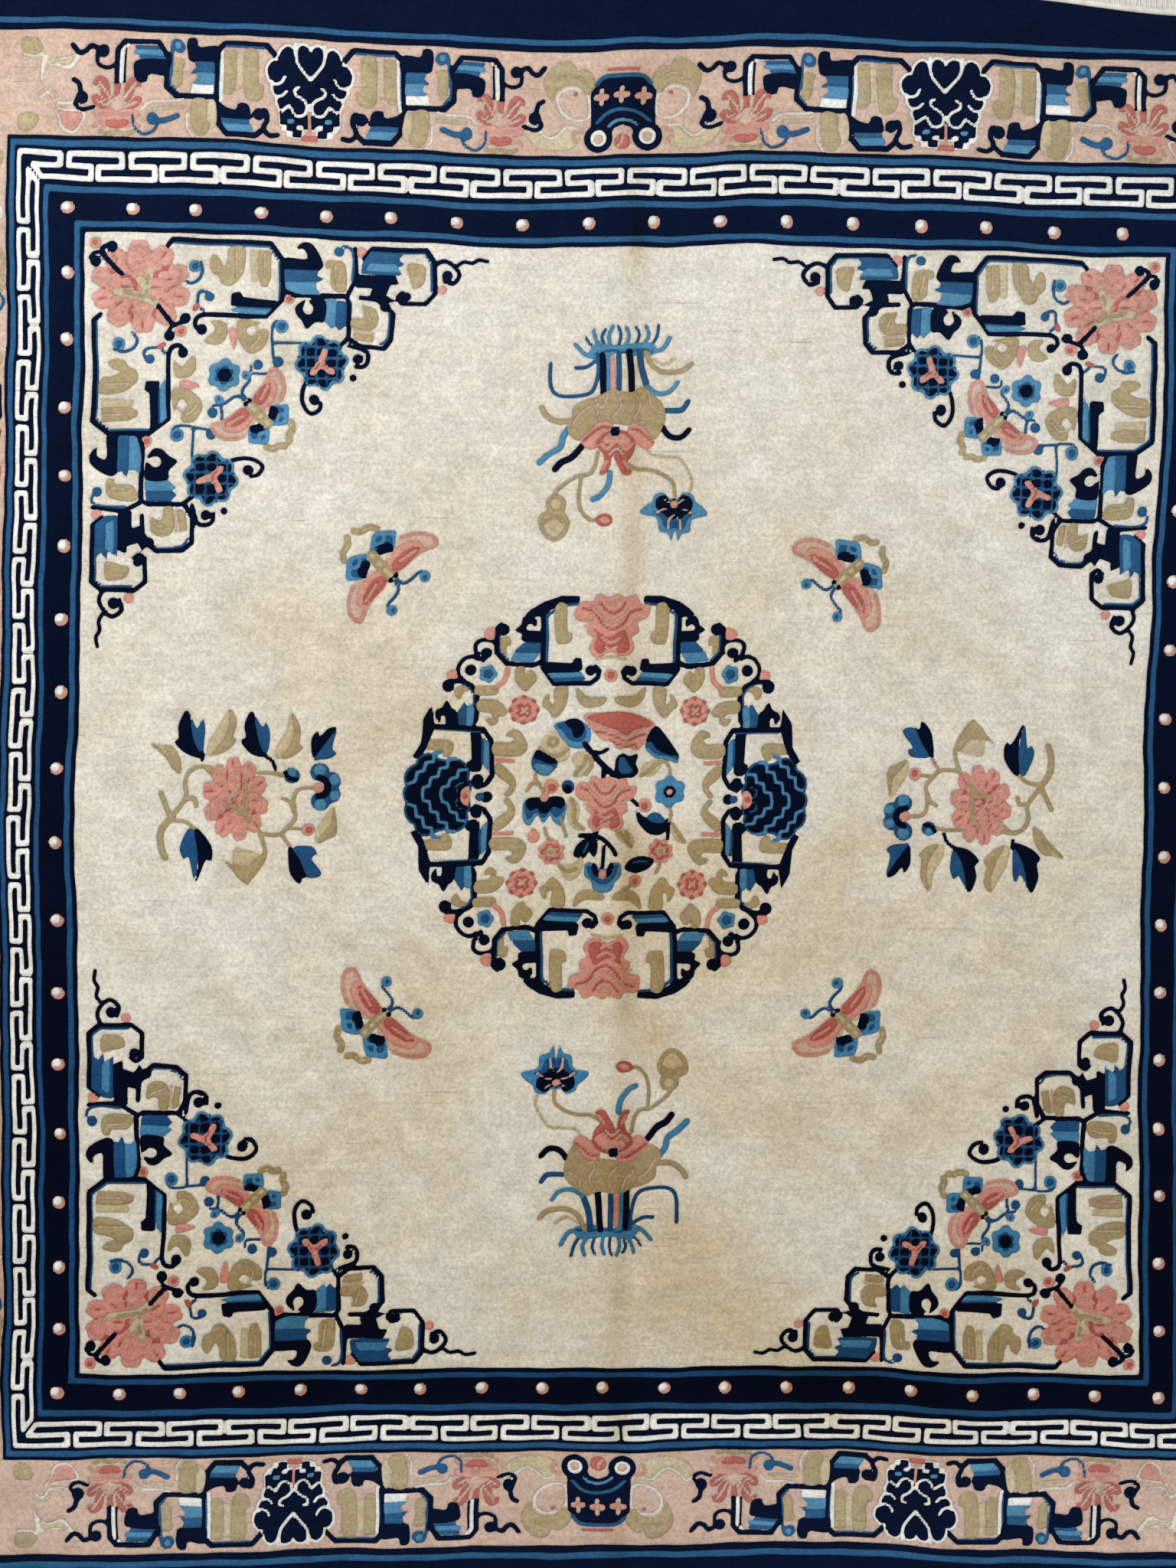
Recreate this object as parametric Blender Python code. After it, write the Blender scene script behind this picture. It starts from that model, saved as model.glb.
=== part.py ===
"""Chinese art deco rug: a hand-knotted wool pile slab with a cotton web and fringe at each end.

It lies flat on the floor, its longer side along Y and the photo's top towards +Y. Metres, +Z up.
"""

import math
import random

import bmesh
import bpy

# The pile, from one selvedge to the other and from one end of the knots to the other
PILE_WIDTH = 2.48
PILE_LENGTH = 2.58
PILE_THICKNESS = 0.012
PILE_CELLS = (48, 50)
EDGE_ROUND = 0.004

# The cotton web past the knots, and the warp ends that hang from it
WEB_GAP = 0.0004
WEB_DEPTH = 0.012
WEB_THICKNESS = 0.003
STRANDS_PER_END = 150
STRAND_LENGTH = 0.064
STRAND_LENGTH_SPREAD = 0.008
STRAND_TIP_SHARE = 0.6
STRAND_THICKNESS = 0.0025
STRAND_SWAY = 0.0022

# Each side wanders as a hand loom leaves it: the side, then places along it and how far it lies outside its
# straight line there, in metres, as read off the photo's border lines
SIDE_WANDER = (
    ("top", (-1.24, -0.75, -0.35, -0.12, 0.05, 0.20, 0.45, 0.85, 1.24),
     (0.0, 0.003, -0.008, -0.014, -0.003, 0.009, 0.004, 0.0, 0.0)),
    ("bottom", (-1.24, -0.75, -0.40, 0.0, 0.35, 0.60, 0.85, 1.24),
     (0.0, 0.0, -0.012, -0.016, -0.020, -0.006, 0.0, 0.0)),
    ("left", (-1.29, -0.60, -0.25, -0.03, 0.25, 0.70, 1.29),
     (0.0, 0.0, 0.008, 0.016, 0.006, 0.0, 0.0)),
    ("right", (-1.29, -0.80, -0.50, -0.20, 0.15, 0.40, 0.65, 1.29),
     (0.0, -0.005, -0.018, -0.023, -0.026, -0.015, -0.002, 0.0)),
    ("top band", (-1.24, 0.25, 0.55, 0.88, 1.24), (0.0, 0.0, -0.010, -0.030, -0.034)),
)
# The outermost band narrows towards the top right; this is where it starts, as a share of the half length
TOP_BAND_START = 0.93

# Low buckles that stay in the rug after it was folded and rolled: their middle, direction in degrees,
# half length along and half width across, and height
BUCKLES = (
    ("centre fold", (0.01, 0.00), 90.0, 1.00, 0.080, 0.0030),
    ("right hand", (0.98, -0.52), 14.0, 0.34, 0.110, 0.0055),
    ("lower right", (0.52, -0.88), 62.0, 0.28, 0.100, 0.0040),
    ("left hand", (-1.00, 0.36), -9.0, 0.30, 0.100, 0.0045),
)

CREAM_WOOL = (0.73, 0.66, 0.52, 1.0)
WHITE_COTTON = (0.80, 0.78, 0.72, 1.0)


def side_wander(side, along):
    """How far a side lies outside its straight line, eased from one place along it to the next."""
    places, offsets = next(row[1:] for row in SIDE_WANDER if row[0] == side)
    for start, end, before, after in zip(places, places[1:], offsets, offsets[1:]):
        if along <= end:
            share = min(max((along - start) / (end - start), 0.0), 1.0)
            return before + (after - before) * 0.5 * (1.0 - math.cos(math.pi * share))
    return offsets[-1]


def outline(x, y):
    """Where a point of the straight rectangle lies in the real rug.

    The sides' wander fades to the middle, and the top band's own narrowing to that band's start.
    """
    across = 2.0 * x / PILE_WIDTH
    along = 2.0 * y / PILE_LENGTH
    x_wander = max(across, 0.0) * side_wander("right", y) - max(-across, 0.0) * side_wander("left", y)
    y_wander = max(along, 0.0) * side_wander("top", x) - max(-along, 0.0) * side_wander("bottom", x)
    in_band = max(along - TOP_BAND_START, 0.0) / (1.0 - TOP_BAND_START)
    y_wander += in_band * side_wander("top band", x)
    return x + x_wander, y + y_wander


def end_rim(share, end):
    """A place on the pile's end, 0 to 1 from left to right, on the straight run between two corners of its grid."""
    cell = min(int(share * PILE_CELLS[0]), PILE_CELLS[0] - 1)
    corners = [
        outline((corner / PILE_CELLS[0] - 0.5) * PILE_WIDTH, end * PILE_LENGTH / 2.0)
        for corner in (cell, cell + 1)
    ]
    part_way = share * PILE_CELLS[0] - cell
    return [before + (after - before) * part_way for before, after in zip(*corners)]


def lift(x, y):
    """How far the buckles raise the cloth off the floor, each a cosine hump on an ellipse."""
    raised = 0.0
    for _name, (middle_x, middle_y), direction, half_length, half_width, height in BUCKLES:
        turn = math.radians(direction)
        along = (x - middle_x) * math.cos(turn) + (y - middle_y) * math.sin(turn)
        across = (y - middle_y) * math.cos(turn) - (x - middle_x) * math.sin(turn)
        distance = math.hypot(along / half_length, across / half_width)
        if distance < 1.0:
            raised += height * 0.5 * (1.0 + math.cos(math.pi * distance))
    return raised


def material(name, colour, roughness):
    made = bpy.data.materials.new(name)
    made.use_nodes = True
    shader = made.node_tree.nodes["Principled BSDF"]
    shader.inputs["Base Color"].default_value = colour
    shader.inputs["Roughness"].default_value = roughness
    shader.inputs["Metallic"].default_value = 0.0
    return made


def add_object(name, bm, finish):
    bmesh.ops.recalc_face_normals(bm, faces=bm.faces[:])
    mesh = bpy.data.meshes.new(name)
    bm.to_mesh(mesh)
    bm.free()
    mesh.materials.append(finish)
    made = bpy.data.objects.new(name, mesh)
    bpy.context.scene.collection.objects.link(made)
    return made


def build_pile(finish):
    """A grid extruded to the pile's thickness, its top rim rounded, then bent to the outline and buckles."""
    bm = bmesh.new()
    bmesh.ops.create_grid(bm, x_segments=PILE_CELLS[0], y_segments=PILE_CELLS[1], size=1.0)
    raised = bmesh.ops.extrude_face_region(bm, geom=bm.faces[:])["geom"]
    top = [item for item in raised if isinstance(item, bmesh.types.BMVert)]
    for vertex in top:
        vertex.co.z = PILE_THICKNESS
    # The grid is in shares of the half width and length, so it's stretched before the rim is rounded
    for vertex in bm.verts:
        vertex.co.x *= PILE_WIDTH / 2.0
        vertex.co.y *= PILE_LENGTH / 2.0
    rim = [
        edge
        for edge in bm.edges
        if all(vertex.co.z > PILE_THICKNESS / 2.0 for vertex in edge.verts)
        and any(abs(face.normal.z) < 0.5 for face in edge.link_faces)
    ]
    bmesh.ops.bevel(
        bm, geom=rim, offset=EDGE_ROUND, segments=2, profile=0.5, affect="EDGES"
    )
    for vertex in bm.verts:
        x, y = outline(vertex.co.x, vertex.co.y)
        vertex.co.x = x
        vertex.co.y = y
        vertex.co.z += lift(x, y)
    pile = add_object("rug_pile", bm, finish)
    pile.data.shade_smooth()
    pile.data.set_sharp_from_angle(angle=math.radians(40.0))
    return pile


def build_fringe(name, end, finish):
    """The web along one end, with every second cell of its outer face drawn out into a strand.

    end is 1 at the top of the photo and -1 at its foot.
    """
    rng = random.Random(name)
    columns = 2 * STRANDS_PER_END + 1
    bm = bmesh.new()
    sections = []
    for column in range(columns + 1):
        x, edge = end_rim(column / columns, end)
        near = edge + end * WEB_GAP
        far = near + end * WEB_DEPTH
        sections.append(
            [
                bm.verts.new((x, near, 0.0)),
                bm.verts.new((x, far, 0.0)),
                bm.verts.new((x, far, WEB_THICKNESS)),
                bm.verts.new((x, near, WEB_THICKNESS)),
            ]
        )
    bm.faces.new(sections[0])
    bm.faces.new(reversed(sections[-1]))
    outer_cells = []
    for before, after in zip(sections, sections[1:]):
        for corner in range(4):
            following = (corner + 1) % 4
            face = bm.faces.new(
                (before[corner], after[corner], after[following], before[following])
            )
            if corner == 1:
                outer_cells.append(face)
    bmesh.ops.recalc_face_normals(bm, faces=bm.faces[:])
    for cell in outer_cells[1::2]:
        draw_out_strand(bm, cell, end, rng)
    return add_object(name, bm, finish)


def draw_out_strand(bm, cell, end, rng):
    """Extrudes a cell of the web's outer face twice along Y into a strand that lies level on the floor."""
    length = STRAND_LENGTH + rng.uniform(-STRAND_LENGTH_SPREAD, STRAND_LENGTH_SPREAD)
    sways = (rng.uniform(-STRAND_SWAY, STRAND_SWAY), rng.uniform(-STRAND_SWAY, STRAND_SWAY))
    for reach, sway, share in ((0.45, sways[0], 0.85), (0.55, sways[1], STRAND_TIP_SHARE)):
        cell = bmesh.ops.extrude_discrete_faces(bm, faces=[cell])["faces"][0]
        middle = cell.calc_center_median()
        for vertex in cell.verts:
            vertex.co.x = middle.x + sway + (vertex.co.x - middle.x) * share
            vertex.co.y += end * length * reach
            vertex.co.z = 0.0 if vertex.co.z < middle.z else STRAND_THICKNESS


for old in list(bpy.data.objects):
    bpy.data.objects.remove(old, do_unlink=True)

wool = material("cream_wool", CREAM_WOOL, 0.9)
cotton = material("white_cotton", WHITE_COTTON, 0.9)
build_pile(wool)
build_fringe("fringe_top", 1, cotton)
build_fringe("fringe_bottom", -1, cotton)
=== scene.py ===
"""Looks of the Chinese art deco rug: a knotted pile drawn yarn by yarn, a cotton foundation and fringes.

Metres in space, with the photo's top towards +Y. The drawing's tables are in millimetres.
"""

import math

import bpy
import numpy as np
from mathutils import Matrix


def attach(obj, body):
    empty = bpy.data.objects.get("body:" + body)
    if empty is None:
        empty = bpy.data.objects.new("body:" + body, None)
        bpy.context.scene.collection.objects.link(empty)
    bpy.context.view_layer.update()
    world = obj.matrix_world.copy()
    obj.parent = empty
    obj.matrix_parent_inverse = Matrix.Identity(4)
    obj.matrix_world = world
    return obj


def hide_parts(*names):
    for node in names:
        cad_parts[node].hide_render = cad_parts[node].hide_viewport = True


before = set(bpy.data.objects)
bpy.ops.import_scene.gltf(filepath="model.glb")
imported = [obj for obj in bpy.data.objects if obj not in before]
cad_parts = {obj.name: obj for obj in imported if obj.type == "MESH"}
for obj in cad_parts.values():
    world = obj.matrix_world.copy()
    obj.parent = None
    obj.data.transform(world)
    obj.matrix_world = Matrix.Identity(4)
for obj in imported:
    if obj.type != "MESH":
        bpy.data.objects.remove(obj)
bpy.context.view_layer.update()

# The rug's ground plan: a nearly square rug as a hand loom leaves it. The knots and the cloth under them fill
# the CAD slab's outline, so its sizes and the wander of its sides are the CAD's.
PILE_WIDTH = 2.48
PILE_LENGTH = 2.58
PILE_TOP = 0.012
# For each side, places along it and how far it lies outside its straight line there
SIDE_WANDER = {
    "top": ((-1.24, -0.75, -0.35, -0.12, 0.05, 0.20, 0.45, 0.85, 1.24),
            (0.0, 0.003, -0.008, -0.014, -0.003, 0.009, 0.004, 0.0, 0.0)),
    "bottom": ((-1.24, -0.75, -0.40, 0.0, 0.35, 0.60, 0.85, 1.24),
               (0.0, 0.0, -0.012, -0.016, -0.020, -0.006, 0.0, 0.0)),
    "left": ((-1.29, -0.60, -0.25, -0.03, 0.25, 0.70, 1.29),
             (0.0, 0.0, 0.008, 0.016, 0.006, 0.0, 0.0)),
    "right": ((-1.29, -0.80, -0.50, -0.20, 0.15, 0.40, 0.65, 1.29),
              (0.0, -0.005, -0.018, -0.023, -0.026, -0.015, -0.002, 0.0)),
    "top band": ((-1.24, 0.25, 0.55, 0.88, 1.24), (0.0, 0.0, -0.010, -0.030, -0.034)),
}
TOP_BAND_START = 0.93
# Low buckles left by folding: middle, direction in degrees, half length, half width, height
BUCKLES = (
    ((0.01, 0.00), 90.0, 1.00, 0.080, 0.0030),
    ((0.98, -0.52), 14.0, 0.34, 0.110, 0.0055),
    ((0.52, -0.88), 62.0, 0.28, 0.100, 0.0040),
    ((-1.00, 0.36), -9.0, 0.30, 0.100, 0.0045),
)


def wander(side, along):
    """Eased steps from one place to the next: before + (after - before) * (1 - cos(pi * share)) / 2."""
    places, offsets = (np.array(row) for row in SIDE_WANDER[side])
    cell = np.clip(np.searchsorted(places, along, side="right") - 1, 0, len(places) - 2)
    share = np.clip((along - places[cell]) / (places[cell + 1] - places[cell]), 0.0, 1.0)
    eased = 0.5 * (1.0 - np.cos(np.pi * share))
    return offsets[cell] + (offsets[cell + 1] - offsets[cell]) * eased


def outline(x, y):
    """Where a point of the straight rectangle lies in the real rug, as in the CAD."""
    across = 2.0 * x / PILE_WIDTH
    along = 2.0 * y / PILE_LENGTH
    x_wander = np.maximum(across, 0.0) * wander("right", y) - np.maximum(-across, 0.0) * wander("left", y)
    y_wander = np.maximum(along, 0.0) * wander("top", x) - np.maximum(-along, 0.0) * wander("bottom", x)
    in_band = np.maximum(along - TOP_BAND_START, 0.0) / (1.0 - TOP_BAND_START)
    return x + x_wander, y + y_wander + in_band * wander("top band", x)


def lift(x, y):
    """How far the buckles raise the cloth off the floor: a cosine hump on each one's ellipse."""
    raised = np.zeros_like(x)
    for (middle_x, middle_y), direction, half_length, half_width, height in BUCKLES:
        turn = math.radians(direction)
        along = (x - middle_x) * math.cos(turn) + (y - middle_y) * math.sin(turn)
        across = (y - middle_y) * math.cos(turn) - (x - middle_x) * math.sin(turn)
        distance = np.minimum(np.hypot(along / half_length, across / half_width), 1.0)
        raised += height * 0.5 * (1.0 + np.cos(np.pi * distance))
    return raised


def grid_quads(rows, columns):
    """The four corners' numbers for each cell of a grid of places numbered row by row."""
    numbers = np.arange(rows * columns).reshape(rows, columns)
    quads = np.stack([numbers[:-1, :-1], numbers[:-1, 1:], numbers[1:, 1:], numbers[1:, :-1]], -1)
    return quads.reshape(-1, 4)


def quads_mesh(name, places, quads):
    """A smooth mesh from its places and the four corners of each face."""
    mesh = bpy.data.meshes.new(name)
    mesh.vertices.add(len(places))
    mesh.vertices.foreach_set("co", np.ascontiguousarray(places, np.float32).ravel())
    mesh.loops.add(quads.size)
    mesh.loops.foreach_set("vertex_index", quads.ravel().astype(np.int32))
    mesh.polygons.add(len(quads))
    mesh.polygons.foreach_set("loop_start", np.arange(0, quads.size, 4, dtype=np.int32))
    mesh.polygons.foreach_set("use_smooth", np.ones(len(quads), bool))
    mesh.update(calc_edges=True)
    return mesh


def add_object(name, mesh, finish):
    """A piece at the origin, its place in its mesh, with one finish."""
    mesh.materials.append(finish)
    made = bpy.data.objects.new(name, mesh)
    bpy.context.scene.collection.objects.link(made)
    return made


# The yarns of the pile: wool spun by hand and dyed in ten colours, listed in the order of the drawing's
# attributes. Each row: name, colour.
NAVY, ROYAL, SKY, ROSE, PINK, BLUSH, OLIVE, TAN, IVORY, CREAM = range(10)
YARNS = (
    ("navy", (0.0018, 0.0058, 0.0240)),
    ("royal", (0.0260, 0.0980, 0.2150)),
    ("sky", (0.0850, 0.2350, 0.3850)),
    ("rose", (0.4100, 0.1350, 0.1150)),
    ("pink", (0.5500, 0.2850, 0.2400)),
    ("blush", (0.5200, 0.3850, 0.3150)),
    ("olive", (0.3700, 0.3050, 0.1850)),
    ("tan", (0.4900, 0.4250, 0.2900)),
    ("ivory", (0.7200, 0.7250, 0.7000)),
    ("cream", (0.6300, 0.6050, 0.5400)),
)

# The pile: wool knots tied row by row on the warps, each row a line of the drawing. The weaver's comb packs
# some borders closer than others, so the drawing's places are laid on the rug through LAID_X and LAID_Y.
# Every yarn has a field with each knot's distance to it: under zero on its own knots, over zero outside them,
# so an outline can run between two knots.
KNOTS = (640, 664)
# A field counts as far as REACH from its yarn's rim. A round line is worked in steps from one point to the
# next. FAR is more than any squared distance on the rug, and TINY keeps a division from nought.
REACH = 8.0
CURVE_STEPS = 5
FAR = 1e6
TINY = 1e-9
LAID_X = (-1240.0, -1130.0, -958.0, -885.0, 885.0, 958.0, 1130.0, 1240.0)
DRAWN_X = (-1240.0, -1143.0, -982.0, -885.0, 885.0, 982.0, 1143.0, 1240.0)
LAID_Y = (-1290.0, -1172.0, -1020.0, -960.0, 1290.0)
DRAWN_Y = (-1290.0, -1189.0, -1028.0, -960.0, 1290.0)
straight_x = np.linspace(-500.0 * PILE_WIDTH, 500.0 * PILE_WIDTH, KNOTS[0] + 1)
straight_y = np.linspace(-500.0 * PILE_LENGTH, 500.0 * PILE_LENGTH, KNOTS[1] + 1)
KNOT_X = np.interp(straight_x, LAID_X, DRAWN_X)
KNOT_Y = np.interp(straight_y, LAID_Y, DRAWN_Y)
fields = np.full((len(YARNS), KNOTS[1] + 1, KNOTS[0] + 1), REACH, np.float32)
fields[CREAM] = -REACH
STRAIGHT = (np.eye(2), np.zeros(2))


def window(points, margin):
    """The rows and columns of knots that a shape can reach."""
    low = points.min(0) - margin
    high = points.max(0) + margin
    columns = slice(*np.searchsorted(KNOT_X, (low[0], high[0])))
    rows = slice(*np.searchsorted(KNOT_Y, (low[1], high[1])))
    return rows, columns


def tie(yarn, distance, place):
    """Ties a shape's knots in one yarn: that yarn's field takes the lesser distance, the others make way."""
    part = fields[(slice(None), *place)]
    own = np.minimum(part[yarn], distance)
    np.maximum(part, -distance, out=part)
    part[yarn] = own
    np.clip(part, -REACH, REACH, out=part)


def smoothed(points, closed):
    """A round curve through given points: Catmull-Rom, in CURVE_STEPS steps from one point to the next."""
    if closed:
        around = np.concatenate([points[-1:], points, points[:2]])
    else:
        around = np.concatenate([2 * points[:1] - points[1:2], points, 2 * points[-1:] - points[-2:-1]])
    share = (np.arange(CURVE_STEPS) / CURVE_STEPS)[:, None]
    before, start, end, after = around[:-3], around[1:-2], around[2:-1], around[3:]
    runs = 0.5 * (
        2 * start[:, None]
        + (end - before)[:, None] * share
        + (2 * before - 5 * start + 4 * end - after)[:, None] * share**2
        + (3 * start - before - 3 * end + after)[:, None] * share**3
    ).reshape(-1, 2)
    return runs if closed else np.concatenate([runs, points[-1:]])


def shape(yarn, points, place=STRAIGHT, width=None, closed=True, round_=True):
    """Ties a closed shape, or with a width a line, through points in millimetres set down at a place."""
    points = np.array(points, float)
    if round_ and len(points) > 2:
        points = smoothed(points, closed)
    points = points @ place[0].T + place[1]
    thick = 0.0 if width is None else width / 2.0
    rows, columns = window(points, REACH + thick)
    x = KNOT_X[None, columns]
    y = KNOT_Y[rows, None]
    nearest = np.full((y.shape[0], x.shape[1]), FAR)
    inside = np.zeros(nearest.shape, bool)
    ends = np.concatenate([points[1:], points[:1]]) if closed else points[1:]
    for (x0, y0), (x1, y1) in zip(points, ends):
        run_x, run_y = x1 - x0, y1 - y0
        share = np.clip(((x - x0) * run_x + (y - y0) * run_y) / (run_x**2 + run_y**2 + TINY), 0.0, 1.0)
        np.minimum(nearest, (x - x0 - share * run_x) ** 2 + (y - y0 - share * run_y) ** 2, out=nearest)
        if closed and y0 != y1:
            inside ^= ((y0 > y) != (y1 > y)) & (x < x0 + (y - y0) * run_x / run_y)
    distance = np.sqrt(nearest)
    if closed and width is None:
        distance = np.where(inside, -distance, distance)
    tie(yarn, distance - thick, (rows, columns))


def lobed(middle, radius, points, lobes, depth, turn=0.0):
    """A disc's rim, or a flower's: radius * (1 - depth * |cos(lobes * angle / 2)| ** 3) round its middle."""
    angle = np.linspace(0.0, math.tau, points, endpoint=False)
    reach = radius * (1.0 - depth * np.abs(np.cos(lobes * (angle - math.radians(turn)) / 2.0)) ** 3)
    return np.stack([reach * np.cos(angle), reach * np.sin(angle)], -1) + np.array(middle)


def dot(yarn, middle, radius, place=STRAIGHT, lobes=0, depth=0.0, turn=0.0):
    """Ties a disc, or with lobes a flower, in one yarn."""
    shape(yarn, lobed(middle, radius, max(16, 8 * lobes), lobes, depth, turn), place, round_=False)


def draw(rows, place=STRAIGHT):
    """Ties a table of rows: kind, yarn, size, points. Later rows lie over earlier ones.

    A line is round and a bent line has corners, of the size's width; an area is round and a block has
    corners; a dot's size is its radius.
    """
    for kind, yarn, size, *points in rows:
        if kind == "dot":
            dot(yarn, points[0], size, place)
        elif kind in ("line", "bent"):
            shape(yarn, points, place, size, closed=False, round_=kind == "line")
        else:
            shape(yarn, points, place, round_=kind == "area")


def placed(x, y, turn=0.0, along=1.0, across=1.0):
    """A place: a table's own axes scaled, turned by degrees and set down with their origin at x and y."""
    angle = math.radians(turn)
    turned = np.array([[math.cos(angle), -math.sin(angle)], [math.sin(angle), math.cos(angle)]])
    return turned @ np.diag([along, across]), np.array([x, y])


def beyond(place, inner):
    """A place within a place."""
    return place[0] @ inner[0], place[0] @ inner[1] + place[1]


# The borders, worked from the field's edge outwards: how far out each band starts, and its yarn.
# The pearls, the key and the main border's flowers are tied on their bands below.
FIELD_HALF = (840.0, 886.0)
BANDS = (
    (0.0, NAVY),
    (6.0, ROYAL),
    (16.0, NAVY),
    (57.0, ROYAL),
    (68.0, NAVY),
    (126.0, ROYAL),
    (137.0, NAVY),
    (142.0, BLUSH),
    (303.0, NAVY),
    (312.0, ROYAL),
    (322.0, NAVY),
)


def out_from_field(x, y):
    """Distance outwards from the field's edge, with square corners."""
    return np.maximum(np.abs(x) - FIELD_HALF[0], np.abs(y) - FIELD_HALF[1])


everywhere = (slice(None), slice(None))
out = out_from_field(KNOT_X[None, :], KNOT_Y[:, None])
for start, yarn in BANDS:
    tie(yarn, start - out, everywhere)

# The pearls: small ivory balls with a rose shadow on their lower right, on the navy band by the field.
# Each row: the side's two ends, the number of gaps, how much each gap grows along it, and how far the
# pearls stray from even places, forwards and back.
PEARL_RADIUS = 10.8
PEARL_ROWS = (
    ((-866.0, 921.0), (875.0, 921.0), 17, 0.3, 0.0),
    ((-870.0, -917.0), (872.0, -921.0), 18, 0.25, 0.0),
    ((-866.0, 921.0), (-872.0, -917.0), 17, 0.0, -0.013),
    ((875.0, 921.0), (872.0, -921.0), 17, 0.0, 0.0),
)


def pearl(x, y):
    """Discs one on the other, each smaller and farther to the upper left, from shadow to light."""
    dot(ROSE, (x, y), PEARL_RADIUS)
    dot(PINK, (x - 0.5, y + 0.5), PEARL_RADIUS - 0.5)
    dot(BLUSH, (x - 1.2, y + 1.0), PEARL_RADIUS - 2.0)
    dot(IVORY, (x - 2.4, y + 2.2), PEARL_RADIUS - 5.0)


for start, end, gaps, growth, stray in PEARL_ROWS:
    steps = np.arange(gaps + 1.0)
    shares = (steps + growth / 100.0 * steps * steps) / (gaps + growth / 100.0 * gaps * gaps)
    for share in shares + stray * np.sin(math.tau * shares):
        pearl(start[0] + (end[0] - start[0]) * share, start[1] + (end[1] - start[1]) * share)

# The key border: one ivory line that bends back on itself along each side, with an elbow at each corner.
# Heights are in millimetres out from the field's edge, places along it in repeats.
KEY_LOW = 80.0
KEY_MIDDLE = 98.5
KEY_HIGH = 117.0
KEY_LINE = 8.5
KEY_START = 0.95
KEY_REPEATS = 20
KEY_MITRE = 9.0
KEY_PATH = ((0.0, KEY_HIGH), (0.86, KEY_HIGH), (0.86, KEY_MIDDLE), (0.49, KEY_MIDDLE), (0.49, KEY_LOW),
            (1.37, KEY_LOW), (1.37, KEY_MIDDLE), (1.0, KEY_MIDDLE), (1.0, KEY_HIGH))


def key_side(half, side_place):
    """One side of the key: out of its left corner, through its repeats and into its right corner.

    At each end the line runs to the corner's mitre and back.
    """
    corner = half + KEY_HIGH
    pitch = 2.0 * corner / KEY_REPEATS
    mitre = [(half + height - KEY_MITRE, height) for height in (KEY_LOW, KEY_MIDDLE)]
    paths = [
        [(start + along * pitch, height) for along, height in KEY_PATH]
        for start in (KEY_START + np.arange(-1.0, KEY_REPEATS - 2.0)) * pitch - corner
    ]
    first, last = paths[0], paths[-1]
    paths[0] = [(-corner, KEY_HIGH), *first[1:3], *[(-x, height) for x, height in mitre[::-1]], *first[5:]]
    paths[-1] = [*last[:5], *mitre, *last[7:], (corner, KEY_HIGH)]
    for path in paths:
        shape(IVORY, path, side_place, KEY_LINE, closed=False, round_=False)


# Each side of the borders as a place: its own x runs along the band, its own y outwards from the field's edge
SIDES = (
    (placed(0.0, FIELD_HALF[1]), FIELD_HALF[0]),
    (placed(0.0, -FIELD_HALF[1], 180.0), FIELD_HALF[0]),
    (placed(-FIELD_HALF[0], 0.0, 90.0), FIELD_HALF[1]),
    (placed(FIELD_HALF[0], 0.0, -90.0), FIELD_HALF[1]),
)
for side_place, half in SIDES:
    key_side(half, side_place)

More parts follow.
